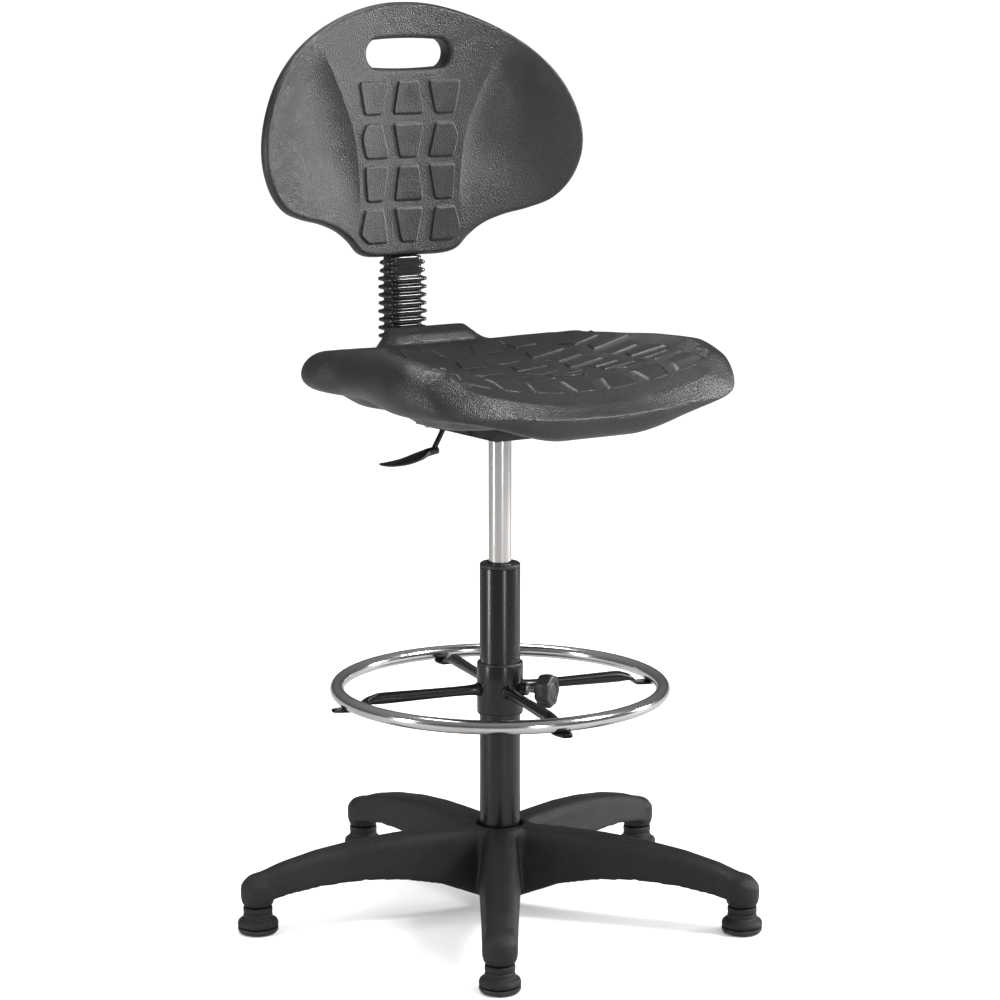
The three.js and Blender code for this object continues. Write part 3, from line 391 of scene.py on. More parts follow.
def circle_angles(count: int) -> np.ndarray:
    """Angles of evenly spaced points round a circle."""
    return np.linspace(0, 2 * math.pi, count, endpoint=False)


# ---- Frame helpers -------------------------------------------------------------------------


def swivel_axis() -> Vector:
    """A point on the swivel axis, at floor height."""
    middle = node_centre("column_tube")
    return Vector((round(middle.x, 4), round(middle.y, 4), 0.0))


def joint(name: str) -> dict:
    """The frame's entry for a joint."""
    return next(entry for entry in frame["joints"] if entry["name"] == name)


def axis_span(node: str, direction: Vector) -> tuple[float, float]:
    """How far a node reaches along a direction from the origin.

    Args:
        node: The frame node.
        direction: A unit direction.

    Returns:
        The least and the greatest distance.
    """
    along = [v.co.dot(direction) for v in frame["nodes"][node].data.vertices]
    return min(along), max(along)


# ---- Pieces --------------------------------------------------------------------------------


@dataclass
class Assembly:
    """A group of pieces, each dressed with the material of its slot."""

    materials: dict[Slot, bpy.types.Material]

    def enter(self, name: str, mesh: bpy.types.Mesh, slot: Slot) -> bpy.types.Object:
        """Put a mesh into the scene as a dressed object."""
        mesh.materials.clear()
        mesh.materials.append(self.materials[slot])
        piece = bpy.data.objects.new(name, mesh)
        bpy.context.scene.collection.objects.link(piece)
        return piece

    def settle(
        self, piece: bpy.types.Object, body: Body, slot: Slot, replaces: Sequence[str],
        rides: bool = True,
    ) -> None:
        """Let a piece ride on its body and stand for its frame nodes.

        Args:
            piece: The piece.
            body: The body it moves with.
            slot: The record's material slot it belongs to; not used.
            replaces: Frame nodes that it stands for.
            rides: Whether it rides on the body; a piece that bends between two bodies does not.
        """
        if rides:
            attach(piece, body.value)
        if replaces:
            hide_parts(*replaces)
        LOG.info("%s: %d points", piece.name, len(piece.data.vertices))

    def make_piece(
        self,
        name: str,
        points: np.ndarray,
        faces: Sequence[Sequence[int]],
        body: Body,
        slot: Slot,
        replaces: Sequence[str] = (),
        rides: bool = True,
    ) -> bpy.types.Object:
        """Make a smooth piece from points and faces.

        Args:
            name: Name of the piece.
            points: Its points, in metres.
            faces: Point numbers of each face.
            body: The body it moves with.
            slot: The record's material slot it belongs to.
            replaces: Frame nodes that it stands for.
            rides: Whether it rides on the body.

        Returns:
            The new object.
        """
        mesh = bpy.data.meshes.new(name)
        mesh.from_pydata([tuple(p) for p in np.asarray(points, float)], [], [tuple(f) for f in faces])
        mesh.update()
        mesh.shade_smooth()
        piece = self.enter(name, mesh, slot)
        self.settle(piece, body, slot, replaces, rides)
        return piece

    def turned_piece(
        self,
        name: str,
        node: str,
        profile: Sequence[Point2],
        body: Body,
        slot: Slot,
        round_off: float = 0.0005,
        around: int = 96,
        direction: Vector = UP,
        at: Vector | None = None,
    ) -> bpy.types.Object:
        """Turn a round piece that stands for one frame node.

        Args:
            name: Name of the piece.
            node: The frame node it replaces; its middle gives the axis.
            profile: Radius and distance along the axis.
            body: The body it rides on.
            slot: Its material slot.
            round_off: Rounding of its corners.
            around: Points round the axis.
            direction: The way the axis points.
            at: Where distance 0 stands, if not on the vertical through the node's middle.

        Returns:
            The new object.
        """
        points, faces = turned(rounded(profile, round_off), around)
        middle = node_centre(node)
        foot = at if at is not None else Vector((middle.x, middle.y, 0))
        piece = self.make_piece(name, points @ facing(direction) + np.array(foot), faces, body, slot,
                                [node])
        tidy_mesh(piece)
        return piece

    def softened_node(self, node: str, body: Body, slot: Slot, width: float) -> bpy.types.Object:
        """Copy a frame node as a new piece whose edges are rounded over.

        Args:
            node: The frame node.
            body: The body it rides on.
            slot: Its material slot.
            width: How wide the rounded edges are.

        Returns:
            The new object.
        """
        shape = bmesh.new()
        shape.from_mesh(frame["nodes"][node].data)
        bmesh.ops.remove_doubles(shape, verts=shape.verts, dist=2e-6)
        bmesh.ops.dissolve_limit(
            shape, angle_limit=math.radians(1), verts=shape.verts, edges=shape.edges)
        mesh = bpy.data.meshes.new(f"{node}_finished")
        shape.to_mesh(mesh)
        shape.free()
        piece = self.enter(f"{node}_finished", mesh, slot)
        bevel = piece.modifiers.new("rounded edges", "BEVEL")
        bevel.width = width
        bevel.segments = 2
        bevel.limit_method = "ANGLE"
        bevel.angle_limit = math.radians(35)
        bake_modifiers(piece)
        piece.data.shade_smooth()
        piece.data.set_sharp_from_angle(angle=math.radians(32))
        self.settle(piece, body, slot, [node])
        return piece


# ---- Shader node groups --------------------------------------------------------------------


def new_group(
    name: str, inputs: Sequence[tuple[str, float]], outputs: Sequence[str]
) -> bpy.types.NodeTree:
    """Start a shader node group with number sockets.

    Args:
        name: Name of the group.
        inputs: Names and default values of its inputs.
        outputs: Names of its outputs.

    Returns:
        The group, holding its input and output nodes.
    """
    group = bpy.data.node_groups.new(name, "ShaderNodeTree")
    for label, value in inputs:
        socket = group.interface.new_socket(name=label, in_out="INPUT", socket_type="NodeSocketFloat")
        socket.default_value = value
    for label in outputs:
        group.interface.new_socket(name=label, in_out="OUTPUT", socket_type="NodeSocketFloat")
    group.nodes.new("NodeGroupInput").name = "in"
    group.nodes.new("NodeGroupOutput").name = "out"
    return group


def add_node(tree: bpy.types.NodeTree, kind: str, **values: object) -> bpy.types.Node:
    """Add a shader node and fill its inputs.

    Args:
        tree: The node tree.
        kind: The node's type, without its common prefix.
        **values: A socket or a value for each named input.

    Returns:
        The node.
    """
    node = tree.nodes.new(f"ShaderNode{kind}")
    for label, value in values.items():
        feed(tree, value, node.inputs[label])
    return node


def feed(tree: bpy.types.NodeTree, value: object, socket: bpy.types.NodeSocket) -> None:
    """Link a socket to an input, or set the input to a value."""
    if isinstance(value, bpy.types.NodeSocket):
        tree.links.new(value, socket)
    else:
        socket.default_value = value


def maths(
    tree: bpy.types.NodeTree, operation: str, first: object, second: object
) -> bpy.types.NodeSocket:
    """Add a Math node.

    Args:
        tree: The node tree.
        operation: The operation's name.
        first: A socket or a number.
        second: A socket or a number.

    Returns:
        The result's socket.
    """
    node = add_node(tree, "Math")
    node.operation = operation
    for socket, value in zip(node.inputs, (first, second)):
        feed(tree, value, socket)
    return node.outputs[0]


def two_colours(
    tree: bpy.types.NodeTree, share: bpy.types.NodeSocket, first: Colour, second: Colour
) -> bpy.types.NodeSocket:
    """Blend two colours by a socket's share.

    Args:
        tree: The node tree.
        share: How much of the second colour to take.
        first: The first colour.
        second: The second colour.

    Returns:
        The socket of the blended colour.
    """
    node = add_node(tree, "Mix")
    node.data_type = "RGBA"
    feed(tree, (*first, 1.0), node.inputs["A"])
    feed(tree, (*second, 1.0), node.inputs["B"])
    feed(tree, share, node.inputs["Factor"])
    return node.outputs["Result"]


def own_place(tree: bpy.types.NodeTree) -> bpy.types.NodeSocket:
    """The socket of the piece's own coordinates."""
    return add_node(tree, "TexCoord").outputs["Object"]


def noise(
    tree: bpy.types.NodeTree, scale: object, detail: float, rough: float = 0.5
) -> bpy.types.NodeSocket:
    """Add a noise texture in the piece's own coordinates.

    Args:
        tree: The node tree.
        scale: A socket or a number, in cells per metre.
        detail: How many finer layers are added.
        rough: How strong the finer layers are.

    Returns:
        The socket with values from 0 to 1.
    """
    place = own_place(tree)
    node = add_node(tree, "TexNoise", Detail=detail, Roughness=rough, Vector=place, Scale=scale)
    return node.outputs["Fac"]


def pebble_group() -> bpy.types.NodeTree:
    """Grain of moulded skins: rounded pebbles of uneven size over a fine tooth."""
    group = new_group("pebble grain", [("Scale", 500.0), ("Fine", 0.3), ("Depth", 1.0)], ["Height"])
    source, sink = group.nodes["in"].outputs, group.nodes["out"].inputs
    cells = add_node(group, "TexVoronoi", Vector=own_place(group), Scale=source["Scale"])
    cells.feature = "SMOOTH_F1"
    cells.inputs["Smoothness"].default_value = 0.35
    pebbles = maths(group, "SUBTRACT", 0.8, cells.outputs["Distance"])
    tooth = noise(group, maths(group, "MULTIPLY", source["Scale"], 1.7), 3.0, 0.6)
    sway = noise(group, 60.0, 2.0)
    uneven = maths(group, "MULTIPLY", pebbles, maths(group, "ADD", sway, 0.55))
    total = maths(group, "ADD", uneven, maths(group, "MULTIPLY", tooth, source["Fine"]))
    feed(group, maths(group, "MULTIPLY", total, source["Depth"]), sink["Height"])
    return group


def handling_group() -> bpy.types.NodeTree:
    """Marks of use: large soft patches and small smears, as a mask from 0 to 1."""
    group = new_group("handling marks", [("Scale", 12.0), ("Contrast", 2.0)], ["Mask", "Smear"])
    source, sink = group.nodes["in"].outputs, group.nodes["out"].inputs
    centred = maths(group, "SUBTRACT", noise(group, source["Scale"], 4.0, 0.6), 0.5)
    mask = maths(group, "ADD", maths(group, "MULTIPLY", centred, source["Contrast"]), 0.5)
    mask.node.use_clamp = True
    feed(group, mask, sink["Mask"])
    feed(group, noise(group, maths(group, "MULTIPLY", source["Scale"], 14.0), 5.0, 0.7), sink["Smear"])
    return group


def brushing_group() -> bpy.types.NodeTree:
    """Fine parallel scratches of ground steel, as a height."""
    group = new_group("ground steel", [("Scale", 900.0)], ["Height"])
    stretch = add_node(group, "Mapping", Scale=(1.0, 1.0, 0.03), Vector=own_place(group))
    lines = add_node(group, "TexNoise", Detail=3.0, Vector=stretch.outputs["Vector"],
                     Scale=group.nodes["in"].outputs["Scale"])
    feed(group, lines.outputs["Fac"], group.nodes["out"].inputs["Height"])
    return group


# ---- Finishes ------------------------------------------------------------------------------


class Grain(Enum):
    """Which surface relief a finish has."""

    PEBBLE = "pebble grain"
    TOOTH = "fine tooth"
    ORANGE_PEEL = "orange peel"
    BRUSHED = "ground steel"
    WOOD = "wood fibre"


@dataclass(frozen=True)
class Finish:
    """One finish of the chair."""

    name: str
    colour: Colour
    worn_colour: Colour
    roughness: tuple[float, float]
    grain: Grain
    grain_scale: float
    grain_depth: float
    metallic: float = 0.0
    specular: float = 0.5
    coat: float = 0.0
    coat_roughness: float = 0.1
    patch_scale: float = 12.0
    patch_contrast: float = 2.0
    eased_by: str | None = None


@dataclass
class Workshop:
    """Builds the materials of all finishes around three shared node groups."""

    pebbles: bpy.types.NodeTree = field(default_factory=pebble_group)
    handling: bpy.types.NodeTree = field(default_factory=handling_group)
    brushing: bpy.types.NodeTree = field(default_factory=brushing_group)

    def place_group(
        self, tree: bpy.types.NodeTree, group: bpy.types.NodeTree, **values: float
    ) -> bpy.types.Node:
        """Put a shared group into a material.

        Args:
            tree: The material's node tree.
            group: The shared group.
            **values: Values for its inputs.

        Returns:
            The group's node.
        """
        node = add_node(tree, "Group")
        node.node_tree = group
        for label, value in values.items():
            node.inputs[label].default_value = value
        return node

    def relief(self, tree: bpy.types.NodeTree, finish: Finish) -> bpy.types.NodeSocket:
        """Height of the finish's surface relief.

        Args:
            tree: The material's node tree.
            finish: The finish.

        Returns:
            The socket of the height.
        """
        if finish.grain is Grain.ORANGE_PEEL:
            return noise(tree, finish.grain_scale, 1.5, 0.4)
        if finish.grain in (Grain.BRUSHED, Grain.WOOD):
            return self.place_group(tree, self.brushing, Scale=finish.grain_scale).outputs["Height"]
        fine = 0.35 if finish.grain is Grain.PEBBLE else 0.9
        grains = self.place_group(tree, self.pebbles, Scale=finish.grain_scale, Fine=fine)
        return grains.outputs["Height"]

    def dress(self, finish: Finish) -> bpy.types.Material:
        """Build the material of a finish.

        Args:
            finish: The finish.

        Returns:
            The new material.
        """
        material = bpy.data.materials.new(finish.name)
        material.use_nodes = True
        tree = material.node_tree
        marks = self.place_group(
            tree, self.handling, Scale=finish.patch_scale, Contrast=finish.patch_contrast).outputs
        low, high = finish.roughness
        height = self.relief(tree, finish)
        if finish.eased_by:
            ease = add_node(tree, "Attribute")
            ease.attribute_name = finish.eased_by
            share = maths(tree, "SUBTRACT", 1.0, maths(tree, "MULTIPLY", ease.outputs["Fac"], 0.75))
            height = maths(tree, "MULTIPLY", height, share)
        bump = add_node(tree, "Bump", Strength=1.0, Distance=finish.grain_depth, Height=height)
        inputs = {
            "Base Color": two_colours(tree, marks["Mask"], finish.colour, finish.worn_colour),
            "Roughness": maths(tree, "ADD", maths(tree, "MULTIPLY", marks["Smear"], high - low), low),
            "Metallic": finish.metallic,
            "Specular IOR Level": finish.specular,
            "Coat Weight": finish.coat,
            "Coat Roughness": finish.coat_roughness,
            "Normal": bump.outputs["Normal"],
        }
        for label, value in inputs.items():
            feed(tree, value, tree.nodes["Principled BSDF"].inputs[label])
        return material


FINISHES: dict[Slot, Finish] = {
    Slot.POLYURETHANE: Finish(
        "self-skinned polyurethane", (0.0085, 0.0088, 0.0098), (0.014, 0.0145, 0.016),
        (0.26, 0.42), Grain.PEBBLE, 640.0, 0.0005, specular=0.55, patch_scale=9.0, eased_by="plate"),
    Slot.NYLON: Finish(
        "glass-filled nylon", (0.007, 0.0074, 0.008), (0.011, 0.0116, 0.0124),
        (0.34, 0.48), Grain.TOOTH, 800.0, 0.0005, specular=0.3),
    Slot.PAINT: Finish(
        "black stove enamel", (0.003, 0.0031, 0.0036), (0.005, 0.0052, 0.006),
        (0.2, 0.32), Grain.ORANGE_PEEL, 420.0, 0.000012, specular=0.4, coat=0.3, coat_roughness=0.16),
    Slot.PLASTIC: Finish(
        "moulded black plastic", (0.010, 0.0102, 0.011), (0.015, 0.0152, 0.016),
        (0.3, 0.46), Grain.TOOTH, 1100.0, 0.00012),
    Slot.CHROME: Finish(
        "bright chrome plate", (0.80, 0.81, 0.82), (0.70, 0.70, 0.70),
        (0.09, 0.2), Grain.ORANGE_PEEL, 160.0, 0.000006, metallic=1.0, patch_contrast=3.0),
    Slot.STEEL: Finish(
        "zinc-plated steel", (0.55, 0.56, 0.57), (0.42, 0.42, 0.42),
        (0.25, 0.45), Grain.BRUSHED, 900.0, 0.00003, metallic=1.0),
    Slot.RUBBER: Finish(
        "bellows rubber", (0.006, 0.006, 0.0065), (0.012, 0.012, 0.0125),
        (0.12, 0.26), Grain.TOOTH, 700.0, 0.00004, specular=0.7, patch_scale=40.0),
    Slot.BOARD: Finish(
        "stained plywood", (0.05, 0.042, 0.034), (0.032, 0.027, 0.023),
        (0.6, 0.8), Grain.WOOD, 500.0, 0.00015),
}


# ---- Base ----------------------------------------------------------------------------------


@dataclass
class Base(Assembly):
    """Star base with its glides and the column that stands in it."""

    voxel: float = 0.0017
    relax_steps: int = 26
    tip_start: float = 0.29
    tip_slope: float = 0.2
    cap_height: float = 0.0055

    def build(self) -> None:
        """Make all pieces of the base."""
        self.star()
        for number in range(1, 6):
            self.glide(number)
        self.column()
        self.bearing()

    def star(self) -> None:
        """The moulded base: the frame's solid with every edge and root run together."""
        mesh = frame["nodes"]["star_base"].data.copy()
        axis = swivel_axis()
        for vertex in mesh.vertices:
            beyond = max((vertex.co - axis).to_2d().length - self.tip_start, 0.0)
            vertex.co.z -= self.tip_slope * beyond * float(smooth(vertex.co.z, 0.055, 0.072))
        piece = self.enter("star_moulding", mesh, Slot.NYLON)
        remesh = piece.modifiers.new("skin", "REMESH")
        remesh.mode = "VOXEL"
        remesh.voxel_size = self.voxel
        relax = piece.modifiers.new("mould radii", "SMOOTH")
        relax.factor = 0.5
        relax.iterations = self.relax_steps
        bake_modifiers(piece)
        piece.data.shade_smooth()
        self.settle(piece, Body.BASE, Slot.NYLON, ["star_base"])

    def glide(self, number: int) -> None:
        """One glide: a nylon foot with a collar, on a hard sole.

        Args:
            number: Which arm it stands under, from 1.
        """
        low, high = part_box(f"glide_body_{number}")
        radius = (high.x - low.x) / 2
        collar = 0.72 * radius
        profile = [
            (0.0, low.z), (radius - 0.003, low.z), (radius - 0.003, low.z + 0.001),
            (radius - 0.0004, low.z + 0.0016), (radius, low.z + 0.0045),
            (radius - 0.0012, low.z + 0.008), (radius - 0.0045, low.z + 0.0105),
            (collar, low.z + 0.0125), (collar, low.z + 0.016), (collar - 0.0009, low.z + 0.0168),
            (collar - 0.0009, low.z + 0.0182), (collar, low.z + 0.019), (collar, high.z - 0.0275),
            (collar - 0.001, high.z - 0.0265), (0.22 * radius, high.z - 0.026), (0.22 * radius, high.z),
            (0.0, high.z),
        ]
        self.turned_piece(f"glide_foot_{number}", f"glide_body_{number}", profile, Body.BASE,
                          Slot.NYLON, 0.0006)
        low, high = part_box(f"glide_sole_{number}")
        rim = radius - 0.0003
        sole = [
            (0.0, 0.0), (radius - 0.0065, 0.0), (radius - 0.002, 0.0016), (rim, 0.0042), (rim, high.z),
            (0.0, high.z),
        ]
        self.turned_piece(f"glide_pad_{number}", f"glide_sole_{number}", sole, Body.BASE, Slot.PLASTIC,
                          0.0006)

    def column(self) -> None:
        """The enamelled tube and the plastic cap of its guide bush."""
        low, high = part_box("column_tube")
        bush_low, bush_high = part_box("guide_bush")
        radius = (bush_high.x - bush_low.x) / 2
        inner = radius - 0.002
        tube = [
            (inner - 0.0016, low.z), (radius - 0.0016, low.z), (radius, 0.098), (radius, high.z),
            (inner, high.z), (inner, 0.098), (inner - 0.0016, low.z),
        ]
        self.turned_piece("column_outer", "column_tube", tube, Body.BASE, Slot.PAINT, 0.0004, 128)
        bore = 0.0144
        lip = bush_high.z - self.cap_height
        cap = [
            (bore, bush_low.z), (inner - 0.0003, bush_low.z), (inner - 0.0003, lip), (radius, lip),
            (radius, bush_high.z - 0.0022), (radius - 0.0014, bush_high.z - 0.0005),
            (radius - 0.004, bush_high.z), (bore + 0.0035, bush_high.z - 0.0004),
            (bore + 0.0022, bush_high.z - 0.0018), (bore + 0.0004, bush_high.z - 0.0018),
            (bore, bush_high.z - 0.0024), (bore, bush_low.z),
        ]
        self.turned_piece("column_cap", "guide_bush", cap, Body.BASE, Slot.PLASTIC, 0.0004, 128)

    def bearing(self) -> None:
        """Washers and ball ring inside the column."""
        for node in ("bearing_washer_lower", "bearing_washer_upper"):
            body = Body.BASE if node.endswith("lower") else Body.SPINDLE
            self.softened_node(node, body, Slot.STEEL, 0.0003)
        self.ball_ring()

    def ball_ring(self) -> None:
        """The cage with its ring of balls."""
        low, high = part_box("ball_cage")
        middle = (low + high) / 2
        ball = (high.z - low.z) / 2
        reach = (high.x - low.x) / 2 - ball - 0.0004
        points, faces = [], []
        rows = [(ball * math.sin(a), -ball * math.cos(a)) for a in np.linspace(0, math.pi, 9)]
        for i in range(12):
            angle = 2 * math.pi * i / 12
            one, skin = turned(rows, 12)
            shift = np.array(middle) + reach * np.array([math.cos(angle), math.sin(angle), 0.0])
            faces += [tuple(k + i * len(one) for k in face) for face in skin]
            points.append(one + shift)
        piece = self.make_piece("bearing_balls", np.vstack(points), faces, Body.BASE, Slot.STEEL,
                                ["ball_cage"])
        tidy_mesh(piece)


# ---- Gas lift ------------------------------------------------------------------------------


@dataclass
class GasLift(Assembly):
    """Rod, cylinder and valve of the gas spring."""

    wall: float = 0.0014

    def build(self) -> None:
        """Make all pieces of the gas spring."""
        low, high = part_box("gas_cylinder")
        radius = (high.x - low.x) / 2
        inner = radius - self.wall
        bore = 0.0054
        cylinder = [
            (bore, low.z), (radius - 0.001, low.z), (radius, low.z + 0.0015), (radius, high.z - 0.014),
            (radius - 0.0008, high.z - 0.001), (radius - 0.0018, high.z), (0.0044, high.z),
            (0.0044, high.z - 0.008), (inner, high.z - 0.010), (inner, low.z + 0.014),
            (bore, low.z + 0.012), (bore, low.z),
        ]
        self.turned_piece("cylinder_barrel", "gas_cylinder", cylinder, Body.LIFT, Slot.CHROME, 0.0004,
                          128)
        low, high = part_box("piston_rod")
        rod = [(0.0, low.z), (0.005, low.z), (0.005, high.z), (0.0, high.z)]
        self.turned_piece("polished_rod", "piston_rod", rod, Body.SPINDLE, Slot.STEEL, 0.0006, 48)
        for node in ("piston", "rod_clip"):
            self.softened_node(node, Body.SPINDLE, Slot.STEEL, 0.0003)
        self.bumper()
        low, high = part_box("valve_button")
        button = [(0.0, low.z), (0.004, low.z), (0.004, high.z), (0.0, high.z)]
        self.turned_piece("valve_pin", "valve_button", button, Body.VALVE, Slot.STEEL, 0.0008, 48)

    def bumper(self) -> None:
        """The rubber stop at the foot of the rod, with three soft folds."""
        low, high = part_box("bumper")
        outer = (high.x - low.x) / 2
        inner = 0.0054
        height = high.z - low.z
        wall = [(outer - 0.0012 * (1 - math.cos(6 * math.pi * t)), low.z + height * t)
                for t in np.linspace(0, 1, 25)]
        profile = [(inner, low.z), *wall, (inner, high.z), (inner, low.z)]
        self.turned_piece("rubber_stop", "bumper", profile, Body.SPINDLE, Slot.RUBBER, 0.0003, 48)


# ---- Knobs and clamp screws ----------------------------------------------------------------


@dataclass
class LobedKnob(Assembly):
    """A moulded grip with lobes, on its screw."""

    lobes: int = 7
    radius: float = 0.0215
    thickness: float = 0.019
    bore: float = 0.0043
    bore_depth: float = 0.0123
    around: int = 168

    def ring(self, height: float, scale: float, lobed: float = 1.0) -> np.ndarray:
        """One outline of the knob.

        Args:
            height: Distance from the knob's foot.
            scale: Share of the full outline.
            lobed: How deep the lobes are; 0 gives a circle.

        Returns:
            The points of the outline.
        """
        angle = circle_angles(self.around)
        wave = np.abs(np.cos(self.lobes * angle / 2)) ** 1.5
        radius = self.radius * (1 - 0.1 * lobed * wave) * scale
        x, y = radius * np.cos(angle), radius * np.sin(angle)
        return np.stack([x, y, np.full_like(angle, height)], axis=1)

    def circle(self, height: float, radius: float) -> np.ndarray:
        """A round outline of the bore or the cap, at a distance from the knob's foot."""
        return self.ring(height, radius / self.radius, 0.0)

    def build(self, node: str, foot: Vector, direction: Vector, body: Body) -> None:
        """Make the knob.

        Args:
            node: The frame node it stands for.
            foot: Middle of its foot.
            direction: The way its face looks.
            body: The body it rides on.
        """
        top = self.thickness
        bore = [(self.bore_depth, 0.0002), (self.bore_depth, self.bore), (0.0004, self.bore),
                (0.0, self.bore + 0.0006)]
        lobes = [(0.0, 0.80), (0.0003, 0.845), (0.0012, 0.88), (0.002, 0.9), (0.004, 0.945),
                 (0.5 * top, 0.99), (top - 0.0045, 1.0), (top - 0.0026, 0.985), (top - 0.0012, 0.95),
                 (top - 0.0004, 0.90), (top, 0.84)]
        cap = [(0.0, 0.56), (0.0005, 0.53), (0.0012, 0.52), (0.0012, 0.49), (0.0006, 0.46),
               (0.0002, 0.36)]
        rings = [self.circle(height, radius) for height, radius in bore]
        rings += [self.ring(height, scale) for height, scale in lobes]
        rings += [self.circle(top - drop, scale * self.radius) for drop, scale in cap]
        rings.append(self.circle(top, 0.0006))
        points, faces = lofted(np.array(rings))
        piece = self.make_piece(f"{node}_grip", points @ facing(direction) + np.array(foot), faces,
                                body, Slot.PLASTIC, [node])
        tidy_mesh(piece)
        piece.data.set_sharp_from_angle(angle=math.radians(50))


@dataclass
class ClampScrew(Assembly):
    """Pad, threaded screw and knob in a row."""

    prefix: str
    direction: Vector
    lock: Body
    screw: Body
    screw_radius: float = 0.004
    pitch: float = 0.0015

    def foot_of(self, node: str) -> tuple[Vector, float]:
        """Where a node starts along the screw's line, and how long it is.

        Args:
            node: The frame node.

        Returns:
            The starting point on the line, and the length.
        """
        low, high = axis_span(node, self.direction)
        middle = node_centre(node)
        offset = middle - self.direction * middle.dot(self.direction)
        return offset + self.direction * low, high - low

    def build(self) -> None:
        """Make the three pieces."""
        pad_foot, pad_length = self.foot_of(f"{self.prefix}_pad")
        pad = [(0.0, 0.0), (0.004, 0.0), (0.004, pad_length), (0.0, pad_length)]
        self.turned_piece(f"{self.prefix}_shoe", f"{self.prefix}_pad", pad, self.lock, Slot.STEEL,
                          0.0004, 48, self.direction, pad_foot)
        foot, length = self.foot_of(f"{self.prefix}_screw")
        crest, root = self.screw_radius, self.screw_radius - 0.0006
        thread: list[Point2] = [(0.0, 0.0), (crest - 0.001, 0.0), (root, 0.0004)]
        run = 0.001
        while run < 0.62 * length:
            thread += [(root, run), (crest, run + 0.4 * self.pitch), (crest, run + 0.55 * self.pitch)]
            run += self.pitch
        thread += [(root, run), (crest, run + 0.0006), (crest, length), (0.0, length)]
        self.turned_piece(f"{self.prefix}_thread", f"{self.prefix}_screw", thread, self.screw,
                          Slot.STEEL, 0.00012, 48, self.direction, foot)
        foot = self.foot_of(f"{self.prefix}_knob")[0]
        LobedKnob(self.materials).build(f"{self.prefix}_knob", foot, self.direction, self.screw)


# ---- Foot ring -----------------------------------------------------------------------------


